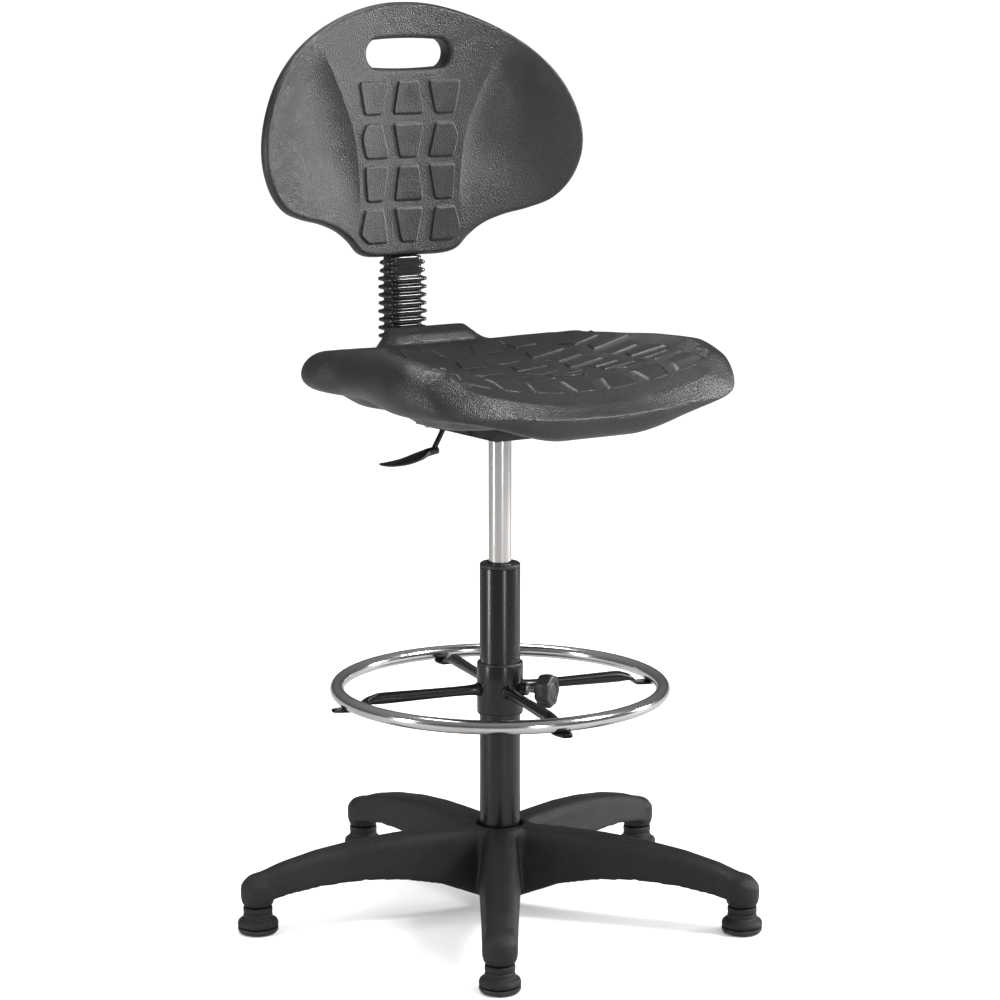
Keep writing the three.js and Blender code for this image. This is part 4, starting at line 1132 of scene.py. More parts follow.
@dataclass
class FootRing(Assembly):
    """Chromed ring on four spokes, with a sleeve that slides on the column."""

    around: int = 288
    tube_sides: int = 40
    spoke_radius: float = 0.0072
    tab_width: float = 0.021
    tab_thickness: float = 0.004

    def build(self) -> None:
        """Make the ring, sleeve, bushes, spokes, boss and clamp."""
        self.axis = swivel_axis()
        low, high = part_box("foot_ring")
        self.height = (low.z + high.z) / 2
        self.tube = (high.z - low.z) / 2
        self.clamp_direction = Vector(joint("ring_lock_travel")["axis"]).normalized()
        self.ring()
        self.sleeve()
        for number in range(1, 5):
            self.spoke(number)
        self.boss()
        ClampScrew(
            self.materials, "ring_clamp", self.clamp_direction, Body.RING_LOCK, Body.RING_SCREW).build()

    def ring_radius(self) -> float:
        """Radius of the ring's centre line, from the farthest point of its solid."""
        far = max((v.co - self.axis).to_2d().length for v in frame["nodes"]["foot_ring"].data.vertices)
        return far - self.tube

    def ring(self) -> None:
        """The chromed tube, with the faint step of its butt weld."""
        radius = self.ring_radius()
        turn = circle_angles(self.around)
        side = circle_angles(self.tube_sides)
        weld = np.exp(-(((turn - math.radians(95)) * radius / 0.0016) ** 2)) * 0.00035
        tube = (self.tube + weld)[:, None]
        spread = radius + tube * np.cos(side)[None, :]
        points = np.stack([
            self.axis.x + spread * np.cos(turn)[:, None],
            self.axis.y + spread * np.sin(turn)[:, None],
            self.height + tube * np.sin(side)[None, :],
        ], axis=2).reshape(-1, 3)
        faces = ring_faces(self.around, self.tube_sides, True)
        piece = self.make_piece("chromed_ring", points, faces, Body.FOOTRING, Slot.CHROME,
                                ["foot_ring"])
        tidy_mesh(piece)

    def sleeve(self) -> None:
        """The enamelled sleeve and the bushes pressed into its ends."""
        low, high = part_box("ring_sleeve")
        upper_low, upper_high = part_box("ring_bush_upper")
        outer = (upper_high.x - upper_low.x) / 2
        inner = outer - 0.002
        bore = 0.0254
        wall = [(inner, low.z), (outer, low.z), (outer, high.z), (inner, high.z), (inner, low.z)]
        self.turned_piece("sleeve_tube", "ring_sleeve", wall, Body.FOOTRING, Slot.PAINT, 0.0005, 128)
        for node, way in (("ring_bush_upper", 1), ("ring_bush_lower", -1)):
            edge = high.z if way > 0 else low.z
            profile = [
                (bore, edge - way * 0.02), (bore + 0.0009, edge - way * 0.02),
                (bore + 0.0009, edge + way * 0.0003), (outer, edge + way * 0.0003),
                (outer - 0.0006, edge + way * 0.0022), (bore, edge + way * 0.0026),
                (bore, edge - way * 0.02),
            ]
            self.turned_piece(f"{node}_lip", node, profile, Body.RING_SLIDER, Slot.PLASTIC, 0.0003, 128)

    def spoke(self, number: int) -> None:
        """A tube whose outer end is pressed flat under the ring.

        Args:
            number: Which spoke, from 1.
        """
        node = f"spoke_{number}"
        middle = node_centre(node) - self.axis
        angle = math.atan2(middle.y, middle.x)
        reach = [(v.co - self.axis).to_2d().length for v in frame["nodes"][node].data.vertices]
        start, end = min(reach), max(reach) - 0.0004
        tab = self.height - self.tube - 0.0003 - self.tab_thickness / 2
        flat = self.ring_radius() - 0.024
        bar = self.height - 0.001
        half, thin = self.tab_width / 2, self.tab_thickness / 2
        rows = [
            (start, self.spoke_radius + 0.0016, self.spoke_radius + 0.0016, bar, 2.0),
            (start + 0.0016, self.spoke_radius + 0.0011, self.spoke_radius + 0.0011, bar, 2.0),
            (start + 0.0034, self.spoke_radius, self.spoke_radius, bar, 2.0),
            (flat - 0.03, self.spoke_radius, self.spoke_radius, bar, 2.0),
            (flat - 0.022, self.spoke_radius, self.spoke_radius, bar, 2.0),
            (flat - 0.009, 1.15 * self.spoke_radius, 0.75 * self.spoke_radius, bar - 0.001, 2.1),
            (flat, 0.46 * self.tab_width, 0.75 * self.tab_thickness, bar - 0.004, 2.6),
            (flat + 0.009, half, thin, tab, 3.4),
            (end - 0.006, half, thin, tab, 3.6),
            (end - 0.0022, half - 0.0014, thin, tab, 3.6),
            (end, half - 0.0045, thin - 0.0008, tab, 3.0),
        ]
        path = spline(rows, 6, False)
        sides = circle_angles(36)
        rings = []
        for x, wide, tall, z, power in path:
            across, up = superellipse(wide, tall, sides, 2 / power)
            rings.append(np.stack([np.full_like(across, x), across, z + up], axis=1))
        points, faces = lofted(np.array(rings))
        c, s = math.cos(angle), math.sin(angle)
        turn = np.array([[c, -s, 0], [s, c, 0], [0, 0, 1]])
        piece = self.make_piece(f"{node}_tube", points @ turn.T + np.array(self.axis), faces,
                                Body.FOOTRING, Slot.PAINT, [node])
        tidy_mesh(piece)

    def boss(self) -> None:
        """The threaded boss that holds the clamp screw."""
        low, high = axis_span("clamp_boss", self.clamp_direction)
        centre = self.axis + Vector((0, 0, self.height))
        foot = centre + self.clamp_direction * (low - centre.dot(self.clamp_direction))
        length = high - low
        profile = [
            (0.0043, 0.0), (0.0089, 0.0), (0.0082, 0.0014), (0.008, 0.003), (0.008, length),
            (0.0043, length), (0.0043, 0.0),
        ]
        self.turned_piece("clamp_nut", "clamp_boss", profile, Body.FOOTRING, Slot.PAINT, 0.0005, 64,
                          self.clamp_direction, foot)


# ---- Seat ----------------------------------------------------------------------------------


@dataclass
class Seat(Assembly):
    """Moulded seat: a hollow with raised bolsters, a lip at the rear and rows of raised plates."""

    half_width: float = 228.0
    rear: float = 178.0
    front: float = 222.0
    underside: float = 630.0
    parting: float = 668.0
    rim_foot: float = 648.0
    nose_drop: float = 31.0
    rim_round: float = 34.0
    lip_round: float = 14.0
    roll_power: float = 2.3
    least_hollow: float = 150.0
    around: int = 900
    across: int = 210
    plate_height: float = 1.8
    outline: Sequence[Point2] = (
        (0, 1), (0.2, 1), (0.33, 0.97), (0.46, 0.9), (0.62, 0.91), (0.77, 0.9), (0.86, 0.78),
        (0.88, 0.58), (0.855, 0.3), (0.88, 0), (0.95, -0.25), (1, -0.5), (0.99, -0.68), (0.93, -0.84),
        (0.78, -0.94), (0.5, -0.985), (0, -1),
    )
    spine: Sequence[Point2] = (
        (178, 708), (165, 712), (152, 705), (140, 692), (98, 679), (47, 671), (0, 667), (-50, 668),
        (-100, 675), (-135, 680), (-155, 678), (-178, 670.5), (-200, 661), (-222, 651),
    )
    crest: Sequence[Point2] = (
        (178, 686), (130, 696), (80, 703), (0, 709), (-60, 712), (-120, 712), (-165, 704), (-200, 684),
        (-222, 660),
    )

    def depth_of(self, share: float) -> float:
        """Distance before or behind the axis of a share of the seat's depth."""
        return share * (self.rear if share > 0 else self.front)

    def rim(self) -> np.ndarray:
        """Points of the seat's outline, evenly spaced."""
        half = [(x * self.half_width, self.depth_of(y)) for x, y in self.outline]
        other = [(-x, y) for x, y in reversed(half[1:-1])]
        return respace(spline([*half, *other], 24, True), self.around)

    def top(self, x: np.ndarray, y: np.ndarray) -> np.ndarray:
        """Height of the sitting surface without its plates.

        Args:
            x: Distances across the seat, from the axis.
            y: Distances along it.

        Returns:
            Heights in millimetres.
        """
        side = [(self.depth_of(b), a * self.half_width) for a, b in self.outline[5:]]
        across = np.abs(x)
        hollow = np.maximum(self.least_hollow, read_table(side, y) - self.rim_round)
        share = np.minimum(1, across / hollow)
        lip = smooth(y, 120, 170) * (1 - smooth(across, 60, 100))
        spine, crest = read_table(self.spine, y), read_table(self.crest, y)
        lobes = mix(spine, crest, smooth(y, 110, 150) * smooth(across, 50, 95))
        return mix(lobes, crest, share**2.1 * (1 - lip))

    def plates(self) -> list[list[Point2]]:
        """Corners of all raised plates, in rows that bow towards the front at the sides."""
        rows = [
            (143, 163, 49, 1, True), (97, 126, 52, 2, False), (50, 77, 50, 3, True),
            (9, 34, 52, 3, False), (-30, -6, 50, 3, True), (-67, -45, 52, 3, False),
            (-101, -81, 50, 3, True), (-133, -115, 52, 3, False), (-181, -149, 53, 4, False),
        ]
        shapes = []
        for low, high, pitch, reach, wide_middle in rows:
            for i in range(-reach, reach + 1):
                wide = (i % 2 == 0) == wide_middle
                foot, head = (20.5, 14.0) if wide else (13.5, 20.0)
                x = i * pitch * (1 - 0.014 * abs(i))
                shapes.append([(x - foot, low), (x + foot, low), (x + head, high), (x - head, high)])
        return shapes

    def plate_field(self, x: np.ndarray, y: np.ndarray) -> np.ndarray:
        """How far each point of the top stands on a plate, from 0 to 1."""
        bow = 0.0014 * x**2 * (1 - smooth(y, 70, 110)) * smooth(y, -150, -110)
        field = np.zeros_like(x)
        for shape in self.plates():
            field = np.maximum(field, plate_mask(x, y + bow, shape, 0.9, 1.1))
        return field

    def inset(self, rim: np.ndarray, amount: np.ndarray | float) -> np.ndarray:
        """Move outline points towards the axis."""
        length = np.linalg.norm(rim, axis=1)
        return rim * (1 - np.asarray(amount) / length)[:, None]

    def build(self) -> bpy.types.Object:
        """Make the seat.

        Returns:
            The seat's object.
        """
        rim = self.rim()
        lip = smooth(rim[:, 1], 130, 165) * (1 - smooth(np.abs(rim[:, 0]), 50, 90))
        turn_in = mix(self.rim_round, self.lip_round, lip)
        inner = self.inset(rim, turn_in)
        middle = self.parting + 8 * smooth(-rim[:, 1], -100, 150) - 24 * smooth(-rim[:, 1], 150, 222)
        nose = smooth(-rim[:, 1], 120, 215) * (1 - smooth(np.abs(rim[:, 0]), 50, 210))
        base = self.rim_foot - self.nose_drop * nose
        middle = np.minimum(middle, self.top(rim[:, 0], rim[:, 1]) - 7.0)
        rings, marks = [], []
        for share in np.linspace(0.012, 1.0, self.across):
            flat = inner * share
            plate = self.plate_field(flat[:, 0], flat[:, 1])
            raised = self.plate_height * (1 - 0.45 * smooth(flat[:, 1], 125, 140)) * plate
            rings.append(np.column_stack([flat, self.top(flat[:, 0], flat[:, 1]) + raised]))
            marks.append(plate)
        for t in np.linspace(0, 1, 34)[1:]:
            out = math.sin(0.5 * math.pi * t)
            flat = self.inset(rim, turn_in * (1 - out))
            roll = math.sqrt(max(0.0, 1 - out**self.roll_power))
            height = middle + (self.top(flat[:, 0], flat[:, 1]) - middle) * roll
            plate = self.plate_field(flat[:, 0], flat[:, 1]) * (1 - smooth(out, 0.15, 0.45))
            rings.append(np.column_stack([flat, height + 0.55 * self.plate_height * plate]))
            marks.append(plate)
        for degrees in np.linspace(-6, -84, 16):
            rise = math.sin(math.radians(degrees))
            out = max(math.cos(math.radians(degrees)), 0.0)
            flat = self.inset(rim, turn_in * (1 - out**0.85))
            rings.append(np.column_stack([flat, middle + rise * (middle - base)]))
            marks.append(np.zeros(self.around))
        for share in np.linspace(1.0, 0.78, 10):
            flat = self.inset(rim, self.rim_round) * share
            rings.append(np.column_stack([flat, mix(self.underside, base, smooth(share, 0.78, 1.0))]))
            marks.append(np.zeros(self.around))
        for share in (0.6, 0.3, 0.05):
            flat = self.inset(rim, self.rim_round) * share
            rings.append(np.column_stack([flat, np.full(self.around, self.underside)]))
            marks.append(np.zeros(self.around))
        axis = swivel_axis()
        points, faces = lofted(np.array(rings) * MM)
        piece = self.make_piece("moulded_seat", points + np.array(axis), faces, Body.LIFT,
                                Slot.POLYURETHANE, ["seat"])
        values = np.concatenate([*marks, [0.0, 0.0]]).astype(np.float32)
        plate_layer = piece.data.attributes.new("plate", "FLOAT", "POINT")
        plate_layer.data.foreach_set("value", values)
        tidy_mesh(piece, merge=False)
        self.pocket(piece)
        return piece

    def pocket(self, piece: bpy.types.Object) -> None:
        """Sink the underside around the plywood board by lifting the points over it.

        Args:
            piece: The seat.
        """
        low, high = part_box("seat_board")
        gap = 0.0003
        for vertex in piece.data.vertices:
            x, y, z = vertex.co
            inside = low.x - gap < x < high.x + gap and low.y - gap < y < high.y + gap
            if inside and z < self.underside * MM + 0.0005:
                vertex.co.z = high.z + gap


# ---- Mechanism under the seat --------------------------------------------------------------


@dataclass
class Mechanism(Assembly):
    """Board, plate, pan, socket, bolts and brackets between the lift and the seat."""


    def build(self) -> None:
        """Make all pieces of the mechanism."""
        for node, slot, width in (
            ("seat_board", Slot.BOARD, 0.0012), ("seat_plate", Slot.PAINT, 0.0006),
            ("mechanism_pan", Slot.PAINT, 0.0009), ("back_bracket", Slot.PAINT, 0.0008),
            ("lever_bracket", Slot.STEEL, 0.0004), ("lever_pin", Slot.STEEL, 0.0003),
        ):
            self.softened_node(node, Body.LIFT, slot, width)
        low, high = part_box("taper_socket")
        outer, inner = (high.x - low.x) / 2, 0.0143
        socket = [
            (inner, low.z), (outer, low.z), (outer, high.z - 0.002), (outer - 0.002, high.z),
            (inner, high.z), (inner, low.z),
        ]
        self.turned_piece("socket_ring", "taper_socket", socket, Body.LIFT, Slot.PAINT, 0.0008)
        for number in range(1, 5):
            self.bolt(number)

    def bolt(self, number: int) -> None:
        """One pan-head bolt with a hexagon recess.

        Args:
            number: Which bolt, from 1.
        """
        node = f"seat_bolt_{number}"
        low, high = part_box(node)
        head = (high.x - low.x) / 2
        profile = [
            (0.0, low.z + 0.0022), (0.0026, low.z + 0.0022), (0.003, low.z + 0.0002),
            (head - 0.0008, low.z), (head, low.z + 0.0012), (head, low.z + 0.005),
            (0.004, low.z + 0.005), (0.004, high.z), (0.0, high.z),
        ]
        self.turned_piece(f"{node}_head", node, profile, Body.LIFT, Slot.STEEL, 0.0004, 48)


# ---- Lever ---------------------------------------------------------------------------------


@dataclass
class Lever(Assembly):
    """Height lever: a cranked rod with a flat plastic grip."""

    rod_radius: float = 0.0032

    def build(self) -> None:
        """Make the rod and the grip."""
        low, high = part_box("lever_rod")
        axis_y = (low.y + high.y) / 2
        top = high.z - 0.0046
        pivot = joint("lever_pull")["pos_m"]
        root_x, root_z = pivot[0] - 0.066, top - 0.034
        path = spline([
            (high.x, top), (pivot[0], top), (pivot[0] - 0.036, top), (pivot[0] - 0.048, top - 0.005),
            (pivot[0] - 0.057, top - 0.019), (root_x, root_z),
        ], 10, False)
        self.bar(path, axis_y)
        self.grip(root_x, root_z, axis_y)

    def bar(self, path: np.ndarray, axis_y: float) -> None:
        """The bent round rod and its pivot eye.

        Args:
            path: Centre line, as x and z.
            axis_y: Where the rod lies across the chair.
        """
        sides = circle_angles(24)
        rings = []
        for i, (x, z) in enumerate(path):
            ahead = path[min(i + 1, len(path) - 1)] - path[max(i - 1, 0)]
            run = ahead / np.linalg.norm(ahead)
            normal = np.array([-run[1], run[0]])
            rings.append(np.stack([
                x + self.rod_radius * np.cos(sides) * normal[0],
                axis_y + self.rod_radius * np.sin(sides),
                z + self.rod_radius * np.cos(sides) * normal[1],
            ], axis=1))
        points, faces = lofted(np.array(rings))
        piece = self.make_piece("lever_bar", points, faces, Body.LEVER, Slot.PAINT, ["lever_rod"])
        tidy_mesh(piece)
        piece.data.set_sharp_from_angle(angle=math.radians(50))
        self.eye(axis_y)

    def eye(self, axis_y: float) -> None:
        """The sleeve on the rod that turns on the lever's pin.

        Args:
            axis_y: Where the rod lies across the chair.
        """
        low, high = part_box("lever_rod")
        pivot = Vector(joint("lever_pull")["pos_m"])
        half = (high.y - low.y) / 2
        profile = [(0.0019, -half), (0.0046, -half), (0.0046, half), (0.0019, half), (0.0019, -half)]
        points, faces = turned(rounded(profile, 0.0004), 48)
        foot = np.array([pivot.x, axis_y, high.z - 0.0046])
        piece = self.make_piece("lever_eye", points @ facing(Vector((0, 1, 0))) + foot, faces,
                                Body.LEVER, Slot.PAINT)
        tidy_mesh(piece)

    def grip(self, root_x: float, root_z: float, axis_y: float) -> None:
        """The flat grip, which widens and then narrows to its tip.

        Args:
            root_x: Where the rod enters it.
            root_z: Height of the rod's end.
            axis_y: Where the rod lies across the chair.
        """
        low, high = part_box("lever_paddle")
        width, length = high.y - low.y, 0.074
        rows = [
            (-6.0 * MM, 3.6 * MM, 3.0 * MM, 0.0), (-5.4 * MM, 5.2 * MM, 4.3 * MM, 0.0),
            (-2 * MM, 5.5 * MM, 4.6 * MM, 0.0), (8 * MM, 5.5 * MM, 4.6 * MM, 0.0),
            (20 * MM, 0.42 * width, 4.0 * MM, -1.5 * MM),
            (0.55 * length, 0.5 * width, 3.2 * MM, -3.0 * MM),
            (0.85 * length, 0.42 * width, 2.4 * MM, -1.0 * MM),
            (0.97 * length, 0.29 * width, 1.7 * MM, 1.0 * MM),
            (length, 0.16 * width, 1.0 * MM, 1.4 * MM),
        ]
        sides = circle_angles(40)
        slope = math.radians(9)
        rings = []
        for along, wide, tall, lift in spline(rows, 6, False):
            across, up = superellipse(wide, tall, sides, 0.8)
            up = lift + up
            rings.append(np.stack([
                root_x - along * math.cos(slope) - up * math.sin(slope),
                axis_y + across,
                root_z - 0.001 - along * math.sin(slope) + up * math.cos(slope),
            ], axis=1))
        points, faces = lofted(np.array(rings))
        piece = self.make_piece("lever_grip", points, faces, Body.LEVER, Slot.PLASTIC, ["lever_paddle"])
        tidy_mesh(piece)


# ---- Back support --------------------------------------------------------------------------


@dataclass
class BackSupport(Assembly):
    """The flat bar that carries the backrest, its tilt bolt and the bellows over it."""

    ribs: int = 13
    flat_ribs: int = 2
    tip_half: Point2 = (0.0285, 0.0195)
    waist_half: Point2 = (0.0225, 0.0140)
    cuff: float = 0.003

    def build(self) -> None:
        """Make the bar, the bellows and the tilt screw."""
        self.softened_node("back_bar", Body.BACK_SUPPORT, Slot.PAINT, 0.001)
        self.bellows()
        self.softened_node("tilt_washer", Body.TILT_LOCK, Slot.STEEL, 0.0003)
        self.tilt_screw()

    def section(self, half: Point2, inset: float, z: float, count: int = 96) -> np.ndarray:
        """One rounded oblong outline of the bellows.

        Args:
            half: Half width and half depth.
            inset: How far to shrink it.
            z: Its height.
            count: Points round it.

        Returns:
            The outline's points.
        """
        angle = circle_angles(count)
        x, y = superellipse(half[0] - inset, half[1] - inset, angle, 0.4)
        return np.stack([x, y, np.full_like(angle, z)], axis=1)

    def bellows(self) -> None:
        """The moulded rubber bellows: thin round-edged fins over deep valleys."""
        low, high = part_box("bellows")
        centre = node_centre("bellows")
        inner = (0.0207, 0.0048)
        start, end = low.z, high.z + 0.002
        pitch = (end - start - 2 * self.cuff) / self.ribs
        rings = [self.section(inner, 0.0, start), self.section(self.waist_half, 0.0006, start),
                 self.section(self.waist_half, 0.0, start + 0.0006)]
        profile = [(0.0, 0.0), (0.14, 0.03), (0.24, 0.5), (0.30, 0.84), (0.38, 0.97), (0.5, 1.0),
                   (0.62, 0.97), (0.70, 0.84), (0.76, 0.5), (0.86, 0.03)]
        wobble = np.random.default_rng(7).uniform(-0.0004, 0.0004, self.ribs)
        for i in range(self.ribs):
            foot = start + self.cuff + pitch * i
            for share, out in profile:
                deep = out if i < self.ribs - self.flat_ribs else 0.0
                half = (mix(self.waist_half[0], self.tip_half[0], out),
                        mix(self.waist_half[1], self.tip_half[1], deep))
                rings.append(self.section(half, wobble[i] * out, foot + pitch * share))
        for inset, z in ((0.0, end - self.cuff), (0.0, end - 0.0006), (0.0006, end)):
            rings.append(self.section(self.waist_half, inset, z))
        rings.append(self.section(inner, 0.0, end))
        stack = np.array(rings)
        faces = ring_faces(len(rings), stack.shape[1], True)
        points = stack.reshape(-1, 3) + np.array([centre.x, centre.y, 0.0])
        piece = self.make_piece("rubber_bellows", points, faces, Body.BACK_SUPPORT, Slot.RUBBER,
                                ["bellows"], rides=False)
        tidy_mesh(piece, merge=False)
        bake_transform(piece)

    def tilt_screw(self) -> None:
        """The cross bolt with its round head, and its lobed knob."""
        pivot = Vector(joint("back_tilt")["pos_m"])
        across = Vector((1, 0, 0))
        low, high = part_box("tilt_bolt")
        shank = 0.005
        length = high.x - low.x
        profile = [
            (0.0, 0.0016), (0.0024, 0.0016), (0.003, 0.0002), (0.0072, 0.0), (0.008, 0.001),
            (0.008, 0.004), (shank, 0.004), (shank, length), (0.0, length),
        ]
        self.turned_piece("tilt_bolt_head", "tilt_bolt", profile, Body.TILT_SCREW, Slot.STEEL, 0.0004,
                          48, across, Vector((low.x, pivot.y, pivot.z)))
        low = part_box("tilt_knob")[0]
        knob = LobedKnob(self.materials, bore=shank + 0.0003, bore_depth=0.014)
        knob.build("tilt_knob", Vector((low.x, pivot.y, pivot.z)), across, Body.TILT_SCREW)


# ---- Backrest ------------------------------------------------------------------------------


@dataclass
class Backrest(Assembly):
    """Winged backrest: a flat waisted panel with raised plates between two dished wings."""

    face: float = 205.0
    thickness: float = 25.0
    sweep: float = 55.0
    half_width: float = 233.0
    top: float = 1110.0
    slot_z: float = 1047.0
    slot_length: float = 120.0
    slot_height: float = 37.0
    around: int = 760
    across: int = 170
    rear_across: int = 110
    plate_height: float = 2.5
    wing_drop: float = 10.0
    outline: Sequence[Point2] = (
        (0, 0), (0.175, 3), (0.39, 16), (0.6, 38), (0.76, 64), (0.885, 96), (0.97, 136), (1, 172),
        (0.985, 200), (0.93, 228), (0.84, 249), (0.72, 260), (0.58, 268), (0.46, 279), (0.37, 294),
        (0.31, 308), (0.25, 313), (0, 314),
    )
    waist: Sequence[Point2] = (
        (1110, 172), (1085, 155), (1055, 134), (1022, 113), (989, 97), (956, 84), (922, 77), (889, 74),
        (856, 74), (837, 78), (797, 90),
    )

    def rim(self) -> np.ndarray:
        """Points of the outline as x and z, crowded under the plates."""
        half = [(x * self.half_width, self.top - drop) for x, drop in self.outline]
        other = [(-x, z) for x, z in reversed(half[1:-1])]
        curve = spline([*half, *other], 30, True)
        middle, low = 1 - smooth(np.abs(curve[:, 0]), 80, 150), 1 - smooth(curve[:, 1], 860, 930)
        crowd = 1 + 1.6 * middle * low
        return respace(curve, self.around, crowd)

    def front(self, x: np.ndarray, z: np.ndarray, to_rim: np.ndarray) -> np.ndarray:
        """Depth of the front face without its plates.

        Args:
            x: Distances across.
            z: Heights.
            to_rim: Distance of each point from the rim.

        Returns:
            The depth, larger further from the sitter.
        """
        side = np.abs(x)
        line = spline(sorted(self.waist), 12, False)
        edge = np.interp(z, line[:, 0], line[:, 1])
        dish = 1 - (1 - np.clip((side - edge) / 55, 0, 1)) ** 2
        bowl = dish * (1 - 0.6 * smooth(side, edge + 50, 228))
        return (self.face - self.sweep * (side / self.half_width) ** 2
                + self.wing_drop * bowl * smooth(to_rim, 0, 95))

    def plates(self) -> list[list[Point2]]:
        """Corners of the raised plates: four rows of one middle plate and a mirrored pair."""
        rows = [(1013, 973), (961, 919), (909, 866), (856, 814)]
        middles = [(14.5, 22), (21.5, 13), (14, 21), (20.5, 11.5)]
        sides = [
            [(39, 1), (66, 1), (74, 0), (30, 0)],
            [(29, 1), (64, 1), (71, 0.4), (64, 0), (40, 0)],
            [(38, 1), (63, 1), (66, 0), (30, 0)],
            [(31, 1), (63, 1), (74, 0.72), (66, 0), (38, 0)],
        ]
        shapes = []
        for (high, low), (head, foot), side in zip(rows, middles, sides):
            shapes.append([(-foot, low), (foot, low), (head, high), (-head, high)])
            right = [(x, high + (low - high) * share) for x, share in side]
            shapes.append(right)
            shapes.append([(-x, z) for x, z in reversed(right)])
        return shapes

    def plate_field(self, x: np.ndarray, z: np.ndarray) -> np.ndarray:
        """How far each point of the front stands on a plate, from 0 to 1."""
        field = np.zeros_like(x)
        for shape in self.plates():
            field = np.maximum(field, plate_mask(x, z, shape, 1.5, 1.5))
        return field

    def pocket(self, x: np.ndarray, y: np.ndarray, z: np.ndarray) -> np.ndarray:
        """Sink the rear face where the guide and its plate lie.

        Args:
            x: Distances across.
            y: Depths of the rear face.
            z: Heights.

        Returns:
            The depths with the pocket sunk in.
        """
        low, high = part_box("back_plate")
        guide_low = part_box("back_guide")[0]
        axis = swivel_axis()
        half = (high.x - low.x) / 2 / MM + 0.6
        floor = (guide_low.y - axis.y) / MM - 0.4
        end = high.z / MM + 4
        mask = (1 - smooth(np.abs(x), half, half + 1.2)) * (1 - smooth(z, end, end + 1.5))
        return mix(y, np.minimum(y, floor), mask)

    def build(self) -> bpy.types.Object:
        """Make the backrest.

        Returns:
            The backrest's object.
        """
        rim = self.rim()
        angle = np.arctan2(rim[:, 1] - self.slot_z, rim[:, 0])
        corner = self.slot_height / 2
        run = self.slot_length / 2 - corner
        cosine = np.cos(angle)
        slot = np.column_stack([
            run * np.sign(cosine) * np.minimum(1, 2.2 * np.abs(cosine)) + corner * cosine,
            self.slot_z + corner * np.sin(angle),
        ])
        out = rim - slot
        length = np.linalg.norm(out, axis=1)
        run_out = out / length[:, None]

        def place(
            inset: float, share: float, depth: float, front: bool
        ) -> tuple[np.ndarray, np.ndarray]:
            """Place one ring of the panel.

            Args:
                inset: How far it lies inside the rim or the slot.
                share: Where it lies between the slot, 0, and the rim, 1.
                depth: Where it lies between the front face, 0, and the rear face, 1.
                front: Whether it carries plates.

            Returns:
                Its points and how far each stands on a plate.
            """
            along = inset + (length - 2 * inset) * share
            flat = slot + run_out * along[:, None]
            x, z = flat[:, 0], flat[:, 1]
            y = self.front(x, z, length - along) + depth * self.thickness
            plate = self.plate_field(x, z) if front else np.zeros_like(x)
            y = y - self.plate_height * plate if front else (self.pocket(x, y, z) if depth > 0.5 else y)
            return np.column_stack([x, y, z]), plate

        steps: list[tuple[float, float, float, bool]] = []
        steps += [(6.0, share, 0.0, True) for share in np.linspace(0, 1, self.across)]
        rim_turn = spline([(6, 0), (3.2, 0.05), (1.2, 0.18), (0, 0.4), (1.2, 0.58), (4, 0.74),
                           (8, 0.88), (12.5, 0.96)], 4, False)
        steps += [(inset, 1.0, depth, False) for inset, depth in rim_turn[1:]]
        steps += [(6.5, share, 1.0, False) for share in np.linspace(0.96, 0, self.rear_across)]
        slot_turn = spline(
            [(6.5, 1), (2.2, 0.95), (0.3, 0.8), (0, 0.5), (0.3, 0.22), (2.2, 0.06), (6, 0)], 3, False)
        steps += [(inset, 0.0, depth, False) for inset, depth in slot_turn[1:-1]]
        rings, marks = zip(*(place(*step) for step in steps))
        stack = np.array(rings)
        points = stack.reshape(-1, 3) * MM + np.array(swivel_axis())
        faces = ring_faces(len(steps), self.around, True)
        piece = self.make_piece("moulded_backrest", points, faces, Body.BACKREST, Slot.POLYURETHANE,
                                ["back_shell"])
        layer = piece.data.attributes.new("plate", "FLOAT", "POINT")
        layer.data.foreach_set("value", 0.35 * np.concatenate(marks).astype(np.float32))
        tidy_mesh(piece, merge=False)
        self.softened_node("back_guide", Body.BACKREST, Slot.PAINT, 0.0008)
        self.softened_node("back_plate", Body.BACKREST, Slot.PAINT, 0.0008)
        ClampScrew(
            self.materials, "back_clamp", Vector((0, 1, 0)), Body.BACK_LOCK, Body.BACK_SCREW).build()
        return piece


# ---- Studio --------------------------------------------------------------------------------


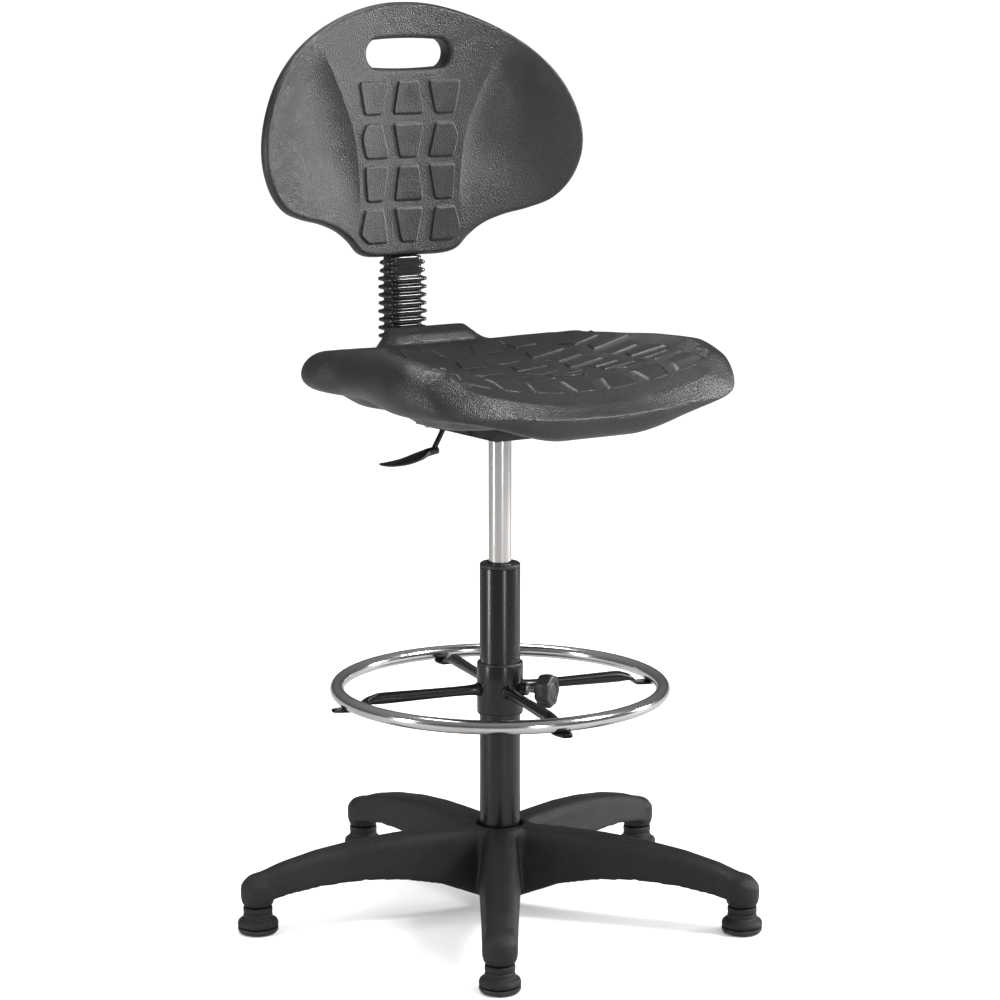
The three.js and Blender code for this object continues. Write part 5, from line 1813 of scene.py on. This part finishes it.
@dataclass
class Studio:
    """Camera, floor and lights."""

    eye: Vector = field(default_factory=lambda: Vector((-1.98005, -2.96597, 1.1537)))
    heading: float = math.radians(34)
    pitch: float = 0.17813
    lens: float = 106.8
    surround_level: float = 1.15
    room_level: float = 0.07
    room_overhead: float = 0.22
    # Painted shade: the darker grey that reflections see the floor in, which darkens the undersides.
    painted_floor_shade: Colour = (0.31, 0.30, 0.292)
    floor_half: float = 60.0

    def build(self) -> None:
        """Make the camera, the floor and the lights."""
        self.camera()
        self.floor()
        self.world()
        centre = Vector((0.0, 0.0, 0.75))
        for name, place, size, power in (
            ("key_box", (1.7, -1.9, 2.5), (0.8, 0.9), 105.0),
            ("side_box", (2.9, -0.9, 0.8), (0.45, 0.7), 52.0),
            ("front_box", (-0.5, -3.4, 0.9), (0.35, 1.6), 22.0),
            ("left_box", (-2.9, 0.4, 0.85), (0.35, 1.6), 36.0),
            ("top_box", (-0.1, 0.7, 3.0), (1.5, 0.9), 42.0),
        ):
            self.softbox(name, Vector(place), centre, size, power)
        bpy.context.scene.view_settings.view_transform = "Standard"

    def camera(self) -> None:
        """The camera, level in roll and pitched down a little."""
        data = bpy.data.cameras.new("camera")
        data.lens = self.lens
        data.sensor_width = 36.0
        camera = bpy.data.objects.new("camera", data)
        look = Vector((
            math.sin(self.heading) * math.cos(self.pitch),
            math.cos(self.heading) * math.cos(self.pitch),
            -math.sin(self.pitch),
        ))
        camera.location = self.eye
        camera.rotation_euler = look.to_track_quat("-Z", "Y").to_euler()
        bpy.context.scene.collection.objects.link(camera)
        bpy.context.scene.camera = camera

    def floor(self) -> None:
        """A plain pale floor, which reflections see through a painted shade of darker warm grey."""
        mesh = bpy.data.meshes.new("floor")
        half = self.floor_half
        corners = [(-half, -half, 0), (half, -half, 0), (half, half, 0), (-half, half, 0)]
        mesh.from_pydata(corners, [], [(0, 1, 2, 3)])
        floor = bpy.data.objects.new("floor", mesh)
        bpy.context.scene.collection.objects.link(floor)
        material = bpy.data.materials.new("studio floor")
        material.use_nodes = True
        tree = material.node_tree
        glossy = add_node(tree, "LightPath").outputs["Is Glossy Ray"]
        inputs = {
            "Roughness": 0.7,
            "Specular IOR Level": 0.2,
            # Painted shade: glossy rays see the floor darker than the camera does.
            "Base Color": two_colours(tree, glossy, (1.0, 1.0, 1.0), self.painted_floor_shade),
        }
        for label, value in inputs.items():
            feed(tree, value, tree.nodes["Principled BSDF"].inputs[label])
        mesh.materials.append(material)

    def world(self) -> None:
        """A white surround that reflections see as a dim room, lighter overhead."""
        world = bpy.data.worlds.new("surround")
        world.use_nodes = True
        tree = world.node_tree
        background = tree.nodes["Background"]
        background.inputs["Color"].default_value = (1.0, 1.0, 1.0, 1.0)
        split = add_node(tree, "SeparateXYZ", Vector=add_node(tree, "TexCoord").outputs["Generated"])
        overhead = maths(tree, "MAXIMUM", split.outputs["Z"], 0.0)
        overhead = maths(tree, "MULTIPLY", overhead, self.room_overhead)
        room = maths(tree, "ADD", overhead, self.room_level)
        glossy = add_node(tree, "LightPath").outputs["Is Glossy Ray"]
        plain = maths(tree, "MULTIPLY", maths(tree, "SUBTRACT", 1.0, glossy), self.surround_level)
        total = maths(tree, "ADD", plain, maths(tree, "MULTIPLY", glossy, room))
        tree.links.new(total, background.inputs["Strength"])
        bpy.context.scene.world = world

    def softbox(self, name: str, place: Vector, aim: Vector, size: Point2, power: float) -> None:
        """A rectangular studio light.

        Args:
            name: Its name.
            place: Where it hangs.
            aim: What it points at.
            size: Its width and height.
            power: Its power in watts.
        """
        data = bpy.data.lights.new(name, "AREA")
        data.shape = "RECTANGLE"
        data.size, data.size_y = size
        data.energy = power
        light = bpy.data.objects.new(name, data)
        light.location = place
        light.rotation_euler = (aim - place).to_track_quat("-Z", "Y").to_euler()
        bpy.context.scene.collection.objects.link(light)


# ---- Assembly ------------------------------------------------------------------------------


def main() -> None:
    """Build the studio and the chair."""
    logging.basicConfig(level=logging.INFO, format="%(name)s %(message)s")
    Studio().build()
    workshop = Workshop()
    materials = {slot: workshop.dress(finish) for slot, finish in FINISHES.items()}
    Base(materials).build()
    GasLift(materials).build()
    FootRing(materials).build()
    Mechanism(materials).build()
    Lever(materials).build()
    Seat(materials).build()
    BackSupport(materials).build()
    Backrest(materials).build()


if __name__ == "__main__":
    main()
